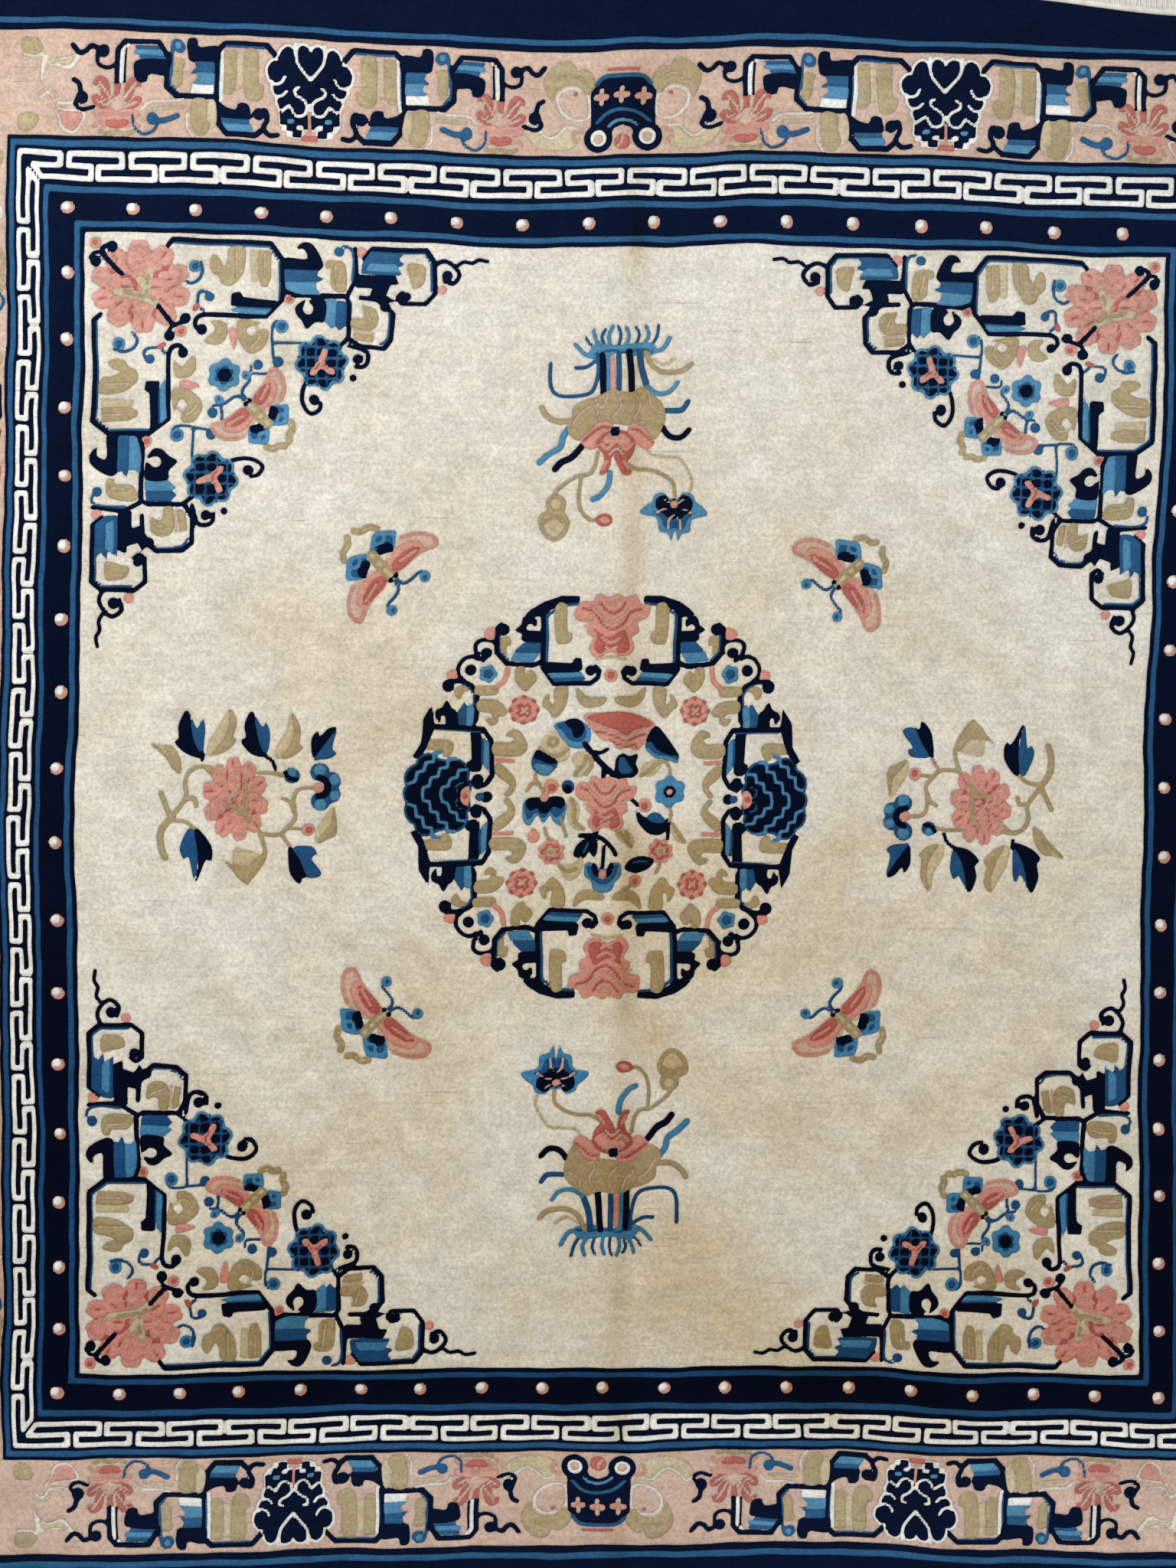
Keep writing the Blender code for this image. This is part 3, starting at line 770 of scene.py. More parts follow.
# The medallion's ring: stepped navy frames with peonies above and below, stepped flowers at the sides, and
# scrolls inside it. A quarter is drawn, its own x and y outwards from the medallion's middle.
MEDALLION_AT = (-22.0, 27.0)
MEDALLION = (
    ("block", CREAM, 0, (52, 308), (104, 286), (102, 214), (52, 214)),
    ("block", NAVY, 0, (134, 288), (124, 298), (106, 309), (78, 318), (50, 317), (50, 307), (76, 307),
     (98, 296), (106, 286)),
    ("bent", ROYAL, 5, (52, 306), (76, 304), (101, 288), (101, 214)),
    ("bent", NAVY, 6, (107, 292), (107, 203), (90, 180), (33, 179), (21, 187), (18, 198), (24, 205)),
    ("dot", NAVY, 8, (32, 199)),
    ("area", OLIVE, 0, (87, 303), (70, 303), (69, 264), (62, 260), (65, 246), (78, 243), (88, 250)),
    ("block", NAVY, 0, (104, 213), (60, 211), (58, 220), (47, 219), (45, 203), (50, 198), (103, 197)),
    ("block", SKY, 0, (101, 196), (48, 197), (42, 188), (93, 187)),
    ("block", ROYAL, 0, (94, 189), (44, 190), (36, 183), (90, 182)),
    ("block", CREAM, 0, (114, 244), (174, 262), (174, 230), (160, 214), (124, 214)),
    ("area", NAVY, 0, (110, 247), (138, 248), (139, 258), (149, 264), (140, 273), (137, 284), (126, 286),
     (117, 280), (119, 270), (125, 275), (132, 272), (131, 264), (110, 262)),
    ("block", ROYAL, 0, (110, 246), (134, 246), (152, 229), (110, 228)),
    ("block", SKY, 0, (112, 228), (150, 228), (156, 216), (122, 213)),
    ("area", OLIVE, 0, (172, 250), (159, 253), (156, 240), (163, 238), (163, 224), (172, 232)),
    ("bent", NAVY, 6.5, (107, 214), (122, 208), (163, 211), (178, 227), (179, 260)),
    ("bent", ROYAL, 4, (158, 215), (173, 229), (174, 262)),
    ("line", NAVY, 6, (179, 256), (179, 266), (172, 273)),
    ("dot", NAVY, 9, (168, 265)),
    ("line", NAVY, 5.5, (179, 241), (188, 247), (203, 247), (211, 238), (208, 222), (198, 213)),
    ("dot", NAVY, 8.5, (194, 226)),
    ("line", NAVY, 5.5, (207, 216), (216, 220), (228, 216), (236, 204), (235, 190), (226, 181)),
    ("dot", NAVY, 8.5, (217, 198)),
    ("area", PINK, 0, (183, 250), (184, 268), (198, 262), (196, 250)),
    ("area", PINK, 0, (238, 182), (240, 198), (254, 194), (250, 182)),
    ("block", CREAM, 0, (212, 112), (214, 170), (236, 176), (238, 112)),
    ("bent", NAVY, 6.5, (250, 181), (228, 180), (214, 174), (206, 162), (206, 122), (214, 108)),
    ("bent", ROYAL, 4, (228, 176), (217, 170), (211, 160), (211, 122)),
    ("dot", NAVY, 9.5, (252, 173)),
    ("area", OLIVE, 0, (241, 168), (230, 173), (218, 168), (228, 163), (234, 153), (241, 160)),
    ("block", ROYAL, 0, (237, 110), (236, 132), (226, 149), (218, 138), (218, 110)),
    ("block", SKY, 0, (222, 110), (211, 110), (210, 138), (216, 146), (221, 140)),
    ("area", NAVY, 0, (236, 108), (253, 108), (255, 124), (262, 126), (264, 115), (271, 125), (269, 134),
     (260, 139), (254, 150), (246, 139), (238, 132)),
    ("block", CREAM, 0, (200, 102), (278, 104), (290, 62), (200, 50)),
    ("area", OLIVE, 0, (284, 84), (250, 85), (242, 76), (246, 63), (256, 60), (260, 70), (282, 70)),
    ("block", NAVY, 0, (216, 101), (200, 99), (199, 40), (212, 37), (220, 44), (219, 53), (213, 55)),
    ("block", ROYAL, 0, (200, 94), (192, 90), (190, 44), (200, 52)),
    ("block", SKY, 0, (195, 91), (188, 84), (187, 38), (195, 47)),
    ("bent", NAVY, 6.5, (276, 108), (195, 106), (184, 88), (183, 34), (192, 20), (204, 15), (211, 22)),
    ("bent", ROYAL, 3.5, (272, 103), (200, 101)),
    ("dot", NAVY, 8, (204, 26)),
    ("block", NAVY, 0, (277, 140), (273, 108), (284, 72), (296, 54), (304, 58), (292, 80), (290, 118)),
    ("line", OLIVE, 15, (203, 167), (180, 167)),
    ("area", OLIVE, 0, (204, 151), (176, 151), (161, 137), (163, 128), (173, 126), (173, 118), (183, 112),
     (191, 123), (180, 123), (184, 131), (204, 135)),
    ("area", OLIVE, 0, (148, 203), (136, 206), (134, 192), (126, 201), (116, 187), (125, 174), (133, 167),
     (147, 181)),
    ("line", PINK, 7, (160, 204), (164, 184), (176, 172)),
    ("area", OLIVE, 0, (180, 84), (154, 84), (148, 92), (160, 96), (149, 105), (138, 101), (128, 84),
     (130, 72), (144, 64), (180, 65)),
    ("area", OLIVE, 0, (178, 49), (168, 50), (150, 32), (147, 16), (158, 1), (164, 6), (156, 18),
     (175, 34)),
    ("area", OLIVE, 0, (88, 173), (69, 174), (69, 148), (86, 126), (98, 138), (106, 144), (103, 156),
     (96, 164), (95, 151), (87, 148)),
    ("area", OLIVE, 0, (54, 173), (36, 160), (8, 159), (12, 148), (35, 144), (50, 154)),
    ("line", PINK, 5, (178, 57), (150, 56)),
    ("dot", SKY, 4, (202, 0)),
)


def stepped_flower(place):
    """A navy flower seen from the side, with blue rims in steps that open outwards and a rose foot."""
    lobes = ((24, 34, 20), (46, 30, 22), (64, 44, 16), (76, 24, 20), (60, 10, 26), (82, 0, 16), (20, 12, 20))
    for rim, yarn in ((4.5, ROYAL), (0.0, NAVY)):
        for side in (-1, 1):
            for x, y, radius in lobes:
                dot(yarn, (x, side * y), radius + rim, place)
    for side in (-1, 1):
        draw((
            ("bent", SKY, 5, (6, side * 40), (17, side * 39), (19, side * 27), (30, side * 25),
             (32, side * 13), (42, side * 11), (44, -side)),
            ("bent", SKY, 5, (22, side * 57), (33, side * 56), (35, side * 43), (47, side * 41),
             (49, side * 28), (60, side * 26), (62, side * 12), (71, side * 10), (72, -side)),
            ("bent", SKY, 5, (46, side * 66), (55, side * 64), (57, side * 51), (69, side * 49),
             (71, side * 36), (81, side * 34), (83, side * 19), (93, side * 16)),
            ("line", ROYAL, 4.5, (10, side * 20), (20, side * 14), (16, side * 4)),
        ), place)
    draw((
        ("area", PINK, 0, (1, 15), (10, 10), (12, 0), (10, -10), (1, -15), (-2, 0)),
        ("dot", ROSE, 5, (5, 0)),
    ), place)


# A peony seen from the side: petals open upwards in scalloped tiers round its middle
SIDE_PEONY = (
    ("area", PINK, 0, (-46, 18), (-38, 34), (-24, 34), (-18, 44), (-4, 40), (6, 44), (16, 38), (30, 42),
     (36, 30), (48, 28), (44, 12), (32, 6), (34, -8), (24, -16), (28, -30), (16, -42), (-2, -36),
     (-18, -44), (-28, -30), (-22, -16), (-30, -8), (-26, 6), (-38, 8)),
    ("area", ROSE, 0, (-22, -2), (-4, -14), (14, -4), (20, -16), (22, -32), (10, -38), (-2, -30),
     (-14, -38), (-22, -28), (-18, -14)),
    ("line", ROSE, 5, (-36, 26), (-22, 20), (-12, 4), (0, -4), (14, 4), (22, 18), (38, 24)),
    ("line", BLUSH, 4.4, (-26, 28), (-14, 14), (0, 6), (14, 14), (24, 28)),
    ("line", ROSE, 5, (-16, 34), (-8, 22), (1, 17), (10, 22), (16, 32)),
    ("line", BLUSH, 4.4, (-6, 34), (1, 28), (8, 34)),
    ("line", PINK, 4.6, (-12, -16), (-1, -22), (10, -16)),
    ("line", PINK, 4.6, (-8, -28), (-1, -33), (6, -28)),
    ("line", BLUSH, 4.4, (-32, 0), (-24, 8)),
    ("line", BLUSH, 4.4, (26, 2), (36, 10)),
)
medallion = placed(*MEDALLION_AT)
for flip_x in (-1.0, 1.0):
    for flip_y in (-1.0, 1.0):
        quarter = beyond(medallion, (np.diag([flip_x, flip_y]), np.zeros(2)))
        draw(MEDALLION, quarter)
        small_flower((190, 193), 14, quarter, 5, heart=ROYAL, eye=ROYAL)
        dot(ROSE, (134, 137), 24, quarter, 8, 0.16, 22.5)
        for angle in (45.0, 135.0, 225.0, 315.0):
            petal = beyond(quarter, placed(134, 137, angle))
            shape(PINK, ((9, -8), (17, -8), (15, 0), (17, 8), (9, 8)), petal, 5, closed=False)
        for thread in (((129, 132), (139, 142)), ((129, 142), (139, 132))):
            shape(BLUSH, thread, quarter, 4, closed=False)
    side_place = beyond(medallion, placed(flip_x * 216.0, 0.0, 0.0 if flip_x > 0 else 180.0))
    stepped_flower(side_place)
    draw((("dot", NAVY, 8.5, (flip_x * 190, 0)), ("dot", ROYAL, 7, (flip_x * 199, 0))), medallion)
    here = beyond(medallion, placed(0.0, flip_x * 272.0, 0.0 if flip_x > 0 else 180.0))
    draw(SIDE_PEONY, beyond(here, placed(0.0, -2.0, 0.0, 1.24, 1.14)))
    draw((
        ("line", TAN, 5, (-22, -55), (0, -51), (22, -55)),
        ("dot", PINK, 10, (0, -81)),
        ("dot", ROSE, 6, (0, -80)),
    ), here)

# What stands in the medallion's middle: a spray of petals over a branch, a peony and small flowers.
# These points are places on the rug.
MEDALLION_MIDDLE = (
    ("area", PINK, 0, (-63, 158), (-30, 163), (0, 164), (28, 158), (50, 144), (38, 126), (22, 104),
     (6, 108), (-8, 104), (-20, 118), (-36, 122)),
    ("area", ROSE, 0, (-58, 157), (-30, 163), (0, 164), (28, 157), (47, 144), (34, 140), (16, 136),
     (2, 128), (-12, 136), (-30, 142), (-46, 148)),
    ("line", ROSE, 4.6, (-44, 132), (-26, 130), (-10, 124), (2, 118), (16, 124), (34, 130)),
    ("line", ROSE, 4.4, (-22, 120), (-8, 112), (4, 109), (16, 112), (22, 106)),
    ("line", BLUSH, 4.6, (-54, 148), (-34, 137), (-12, 130), (2, 123), (16, 130), (42, 138)),
    ("area", SKY, 0, (-109, 142), (-100, 128), (-86, 108), (-66, 104), (-54, 112), (-51, 126), (-56, 140),
     (-74, 153), (-90, 149)),
    ("area", ROYAL, 0, (-106, 143), (-94, 128), (-82, 116), (-66, 114), (-58, 124), (-60, 140), (-76, 153),
     (-92, 149)),
    ("area", NAVY, 0, (-92, 147), (-80, 153), (-68, 150), (-62, 138), (-66, 124), (-76, 122), (-80, 134)),
    ("line", SKY, 4.4, (-98, 133), (-84, 114), (-66, 110), (-56, 120)),
    ("area", TAN, 0, (-112, 132), (-128, 112), (-124, 96), (-108, 82), (-92, 83), (-82, 94), (-88, 112)),
    ("line", OLIVE, 4.6, (-130, 104), (-116, 92), (-98, 92), (-86, 102)),
    ("dot", OLIVE, 9, (-109, 113)),
    ("dot", TAN, 4.5, (-109, 113)),
    ("area", ROYAL, 0, (-134, 101), (-143, 82), (-136, 66), (-118, 60), (-106, 70), (-102, 80), (-116, 90)),
    ("area", SKY, 0, (-138, 78), (-130, 66), (-118, 62), (-108, 72), (-118, 76)),
    ("area", NAVY, 0, (-134, 101), (-120, 94), (-102, 82), (-114, 79), (-132, 86), (-138, 88)),
    ("line", NAVY, 8, (-59, 112), (-45, 94), (-32, 78), (-14, 63), (4, 63)),
    ("line", NAVY, 5.5, (-45, 99), (-34, 98), (-25, 104)),
    ("line", NAVY, 5.5, (-30, 76), (-30, 60)),
    ("area", NAVY, 0, (-12, 62), (-12, 86), (-2, 97), (8, 93), (22, 97), (18, 82), (22, 70), (14, 60),
     (0, 60)),
    ("area", ROYAL, 0, (-8, 68), (-8, 88), (0, 92), (8, 80), (14, 70), (4, 64)),
    ("area", NAVY, 0, (36, 122), (50, 141), (64, 130), (82, 104), (88, 92), (76, 92), (58, 98), (44, 106)),
    ("area", ROYAL, 0, (34, 116), (44, 118), (54, 106), (70, 98), (87, 94), (84, 86), (62, 90), (44, 98),
     (36, 106)),
    ("line", SKY, 5, (38, 106), (52, 95), (68, 92), (84, 86)),
    ("area", TAN, 0, (-79, 84), (-70, 97), (-54, 99), (-46, 88), (-50, 70), (-60, 60), (-76, 60),
     (-72, 74)),
    ("line", OLIVE, 4.5, (-74, 62), (-60, 78), (-56, 92)),
    ("line", OLIVE, 5, (-50, 92), (-48, 76), (-56, 62)),
    ("area", TAN, 0, (24, 64), (32, 80), (48, 88), (60, 88), (58, 74), (46, 62), (34, 60)),
    ("line", OLIVE, 4.5, (26, 62), (42, 70), (56, 84), (68, 84), (74, 72), (74, 60)),
    ("line", OLIVE, 4.6, (-136, 64), (-134, 52), (-126, 42), (-122, 30)),
    ("line", OLIVE, 4.4, (-150, 38), (-142, 48), (-130, 50)),
    ("dot", PINK, 11, (-111, 45)),
    ("dot", ROSE, 6.5, (-110, 43)),
    ("dot", ROYAL, 10.5, (-85, 44)),
    ("dot", NAVY, 7, (-86, 40)),
    ("area", SKY, 0, (-154, 22), (-136, 26), (-122, 24), (-106, 28), (-91, 22), (-90, 2), (-94, -16),
     (-106, -10), (-112, 0), (-122, -12), (-132, 0), (-144, -16), (-154, -8)),
    ("area", ROYAL, 0, (-152, 22), (-136, 26), (-122, 24), (-106, 28), (-92, 22), (-92, 6), (-104, -4),
     (-112, 4), (-122, -6), (-134, 4), (-146, -8), (-152, 4)),
    ("area", NAVY, 0, (-151, 24), (-136, 28), (-122, 25), (-106, 29), (-92, 24), (-96, 10), (-108, 14),
     (-116, 4), (-126, 4), (-132, 12), (-144, 8)),
    ("dot", PINK, 6.5, (-122, 27)),
    ("area", TAN, 0, (-84, 28), (-74, 22), (-68, 8), (-70, -12), (-60, -26), (-74, -24), (-84, -12),
     (-88, 6)),
    ("line", OLIVE, 4.6, (-80, 24), (-76, 6), (-76, -10), (-62, -24)),
    ("area", NAVY, 0, (20, 8), (22, -8), (32, -22), (44, -30), (62, -28), (76, -12), (74, -4), (58, -8),
     (44, -6), (30, 0)),
    ("area", ROYAL, 0, (36, -2), (46, 6), (58, 4), (68, -8), (56, -12), (42, -9)),
    ("line", NAVY, 4.6, (72, -18), (72, -36)),
    ("dot", PINK, 10.5, (34, 17)),
    ("dot", ROSE, 6, (33, 16)),
    ("line", NAVY, 5, (12, 26), (22, 17)),
    ("line", OLIVE, 4.6, (76, 12), (78, 2), (74, -8)),
    ("area", TAN, 0, (78, -8), (88, -18), (98, -32), (102, -44), (90, -42), (80, -30), (76, -18)),
    ("line", OLIVE, 4.6, (80, -12), (90, -28), (100, -42)),
    ("area", TAN, 0, (-12, -24), (6, -26), (16, -38), (14, -54), (0, -46), (-10, -36)),
    ("line", OLIVE, 4.6, (-10, -24), (0, -36), (12, -52)),
    ("line", OLIVE, 4.4, (4, -26), (8, -38)),
    ("line", NAVY, 6, (-68, -34), (-46, -34), (-32, -40), (-20, -52), (-12, -64)),
    ("line", NAVY, 5, (-46, -36), (-42, -28)),
    ("area", NAVY, 0, (-76, -64), (-72, -48), (-58, -38), (-46, -38), (-42, -50), (-46, -66), (-56, -56),
     (-60, -66)),
    ("line", ROYAL, 5, (-56, -44), (-62, -58)),
    ("line", NAVY, 5, (-32, -52), (-32, -84)),
    ("area", NAVY, 0, (4, -82), (14, -70), (32, -66), (48, -72), (42, -84), (26, -90), (12, -88)),
    ("line", ROYAL, 4.6, (16, -76), (30, -73), (42, -76)),
    ("dot", PINK, 9.5, (22, -103)),
    ("dot", ROSE, 5.5, (22, -104)),
    ("line", OLIVE, 4.5, (0, -116), (10, -113), (18, -106)),
    ("area", TAN, 0, (-100, -72), (-90, -78), (-74, -74), (-66, -64), (-62, -78), (-70, -96), (-84, -104),
     (-94, -92)),
    ("line", OLIVE, 4.6, (-98, -80), (-86, -88), (-72, -84)),
    ("line", OLIVE, 4.6, (-120, -20), (-116, -34), (-108, -40)),
    ("line", OLIVE, 4.6, (-96, -4), (-92, -20), (-88, -34)),
    ("line", OLIVE, 4.6, (-140, -22), (-132, -28)),
    ("dot", PINK, 9.5, (-138, -34)),
    ("line", OLIVE, 4.6, (54, -92), (58, -80), (56, -74)),
)
draw(MEDALLION_MIDDLE)
draw(SIDE_PEONY, placed(-28, 16))
small_flower((74, 38), 25, rim=SKY)
ROSETTE_RADIUS = 21
for middle in ((-110, -59), (60, -57)):
    dot(PINK, middle, ROSETTE_RADIUS, STRAIGHT, 8, 0.2)
    shape(ROSE, lobed(middle, ROSETTE_RADIUS * 0.66, 39, 5, 0.3), STRAIGHT, 4.6, round_=False)
    dot(TAN, middle, ROSETTE_RADIUS * 0.36)
    dot(OLIVE, middle, ROSETTE_RADIUS * 0.18)
draw((
    ("area", SKY, 0, (-58, -76), (-46, -76), (-38, -84), (-24, -84), (-16, -76), (-4, -78), (-2, -94),
     (-12, -104), (-18, -116), (-32, -120), (-46, -116), (-50, -104), (-60, -94)),
    ("line", ROYAL, 8, (-54, -82), (-48, -96), (-32, -104), (-16, -96), (-10, -82)),
    ("line", NAVY, 8, (-46, -80), (-40, -92), (-24, -92), (-18, -80)),
    ("dot", PINK, 6.5, (-32, -92)),
))

# The peony branches on the left and right of the field: a pink flower, buds, and blue and tan leaves on an
# olive stem. The left one's points are places on the rug, and the right one is the same turned half round.
PEONY_BRANCH = (
    ("line", OLIVE, 6, (-607, 57), (-630, 62), (-652, 65), (-667, 55), (-672, 37), (-671, 17), (-690, -10)),
    ("line", OLIVE, 9, (-690, -10), (-708, -34), (-708, -58), (-702, -76)),
    ("line", OLIVE, 7, (-710, 24), (-700, 2), (-691, -16)),
    ("line", OLIVE, 5, (-692, -17), (-670, -19), (-656, -30)),
    ("line", OLIVE, 6, (-671, 15), (-658, 16), (-654, 5)),
    ("line", OLIVE, 6, (-640, 62), (-624, 46), (-612, 40)),
    ("line", OLIVE, 5, (-560, 58), (-540, 58), (-522, 55)),
    ("line", NAVY, 4.5, (-535, 64), (-540, 77), (-552, 86)),
    ("line", OLIVE, 5, (-557, -35), (-528, -36), (-514, -22), (-505, -10), (-507, 18), (-500, 35),
     (-470, 38)),
    ("line", OLIVE, 5, (-522, 20), (-512, 14), (-507, 0)),
    ("line", OLIVE, 6, (-566, -18), (-555, -40), (-551, -66), (-564, -92), (-580, -112)),
    ("line", OLIVE, 4.4, (-514, -26), (-494, -28)),
    ("line", OLIVE, 4.5, (-524, -36), (-512, -54)),
    ("line", NAVY, 4.5, (-648, 76), (-646, 86)),
    ("area", TAN, 0, (-728, 102), (-708, 100), (-694, 97), (-682, 78), (-680, 54), (-694, 62), (-704, 78)),
    ("area", OLIVE, 0, (-708, 99), (-694, 97), (-682, 78), (-680, 54), (-692, 66), (-698, 84)),
    ("line", OLIVE, 4.5, (-726, 101), (-706, 84), (-690, 64)),
    ("area", TAN, 0, (-612, 156), (-601, 140), (-604, 116), (-599, 106), (-614, 90), (-640, 84),
     (-638, 108), (-626, 132)),
    ("area", OLIVE, 0, (-612, 156), (-601, 140), (-604, 116), (-599, 106), (-614, 90), (-632, 86),
     (-620, 104), (-611, 130)),
    ("area", TAN, 0, (-513, 156), (-499, 134), (-501, 106), (-496, 100), (-510, 86), (-534, 82),
     (-534, 104), (-520, 128)),
    ("area", OLIVE, 0, (-513, 156), (-499, 134), (-501, 106), (-496, 100), (-510, 86), (-526, 82),
     (-514, 104), (-508, 130)),
    ("area", TAN, 0, (-446, 8), (-441, -16), (-442, -38), (-454, -44), (-472, -52), (-474, -30),
     (-460, -8)),
    ("area", OLIVE, 0, (-446, 8), (-441, -16), (-442, -38), (-454, -44), (-470, -50), (-460, -34),
     (-448, -18)),
    ("area", TAN, 0, (-616, -76), (-600, -84), (-596, -58), (-564, -64), (-554, -72), (-566, -96),
     (-580, -112), (-592, -104), (-600, -92)),
    ("area", OLIVE, 0, (-616, -76), (-600, -84), (-576, -84), (-560, -68), (-554, -72), (-566, -96),
     (-580, -112), (-592, -104), (-600, -92)),
    ("dot", PINK, 10, (-486, -29)),
    ("dot", ROSE, 6, (-485, -30)),
    ("dot", ROYAL, 12, (-511, 56)),
    ("dot", SKY, 6, (-511, 61)),
    ("line", NAVY, 5.5, (-521, 60), (-514, 52), (-504, 50)),
    ("dot", ROYAL, 15, (-469, 62)),
    ("dot", ROYAL, 14, (-451, 48)),
    ("dot", ROYAL, 13, (-450, 28)),
    ("dot", ROYAL, 15, (-467, 17)),
    ("dot", SKY, 9, (-469, 65)),
    ("dot", SKY, 8, (-447, 50)),
    ("dot", SKY, 7, (-446, 26)),
    ("dot", SKY, 9, (-467, 12)),
    ("line", NAVY, 9, (-470, 54), (-460, 48), (-457, 38), (-461, 28), (-471, 24)),
    ("dot", PINK, 7.5, (-472, 38)),
    ("area", NAVY, 0, (-675, 155), (-686, 134), (-684, 112), (-690, 104), (-674, 88), (-648, 80),
     (-648, 94), (-664, 118)),
    ("area", ROYAL, 0, (-672, 152), (-659, 127), (-652, 142), (-646, 122), (-648, 88), (-662, 108)),
    ("area", NAVY, 0, (-576, 155), (-588, 134), (-584, 114), (-590, 106), (-572, 88), (-550, 86),
     (-562, 110)),
    ("area", ROYAL, 0, (-574, 152), (-560, 130), (-554, 138), (-547, 118), (-550, 88), (-566, 112)),
    ("area", NAVY, 0, (-472, 127), (-482, 112), (-479, 84), (-466, 100), (-443, 131), (-454, 132),
     (-468, 119)),
    ("area", ROYAL, 0, (-478, 84), (-443, 130), (-450, 102), (-444, 92), (-454, 84), (-468, 82)),
    ("area", ROYAL, 0, (-665, -29), (-680, -58), (-675, -77), (-667, -74), (-662, -110), (-654, -80),
     (-652, -42)),
    ("area", NAVY, 0, (-655, -29), (-632, -54), (-632, -80), (-641, -78), (-660, -113), (-652, -80)),
    ("area", NAVY, 0, (-514, -55), (-512, -92), (-496, -112), (-492, -100), (-484, -102), (-504, -66)),
    ("area", ROYAL, 0, (-508, -56), (-480, -56), (-472, -68), (-481, -73), (-464, -98), (-484, -102),
     (-498, -76)),
)
BRANCH_MIDDLE = (-585.0, 20.0)
OTHER_BRANCH_AT = (567.0, 21.0)


def peony_branch(place):
    """The branch, its flower over it, and the flower's own stalks and vein."""
    draw(PEONY_BRANCH, place)
    peony((-594, 18), 48, 60, place, 20.0)
    draw((
        ("line", OLIVE, 6, (-611, 6), (-594, 3), (-582, -6), (-572, -16)),
        ("line", OLIVE, 6, (-579, 44), (-577, 16), (-580, -4)),
        ("line", BLUSH, 5, (-606, 16), (-596, 26), (-588, 40)),
    ), place)


peony_branch(STRAIGHT)
turned = placed(OTHER_BRANCH_AT[0], OTHER_BRANCH_AT[1], 180.0)
peony_branch(beyond(turned, placed(-BRANCH_MIDDLE[0], -BRANCH_MIDDLE[1])))

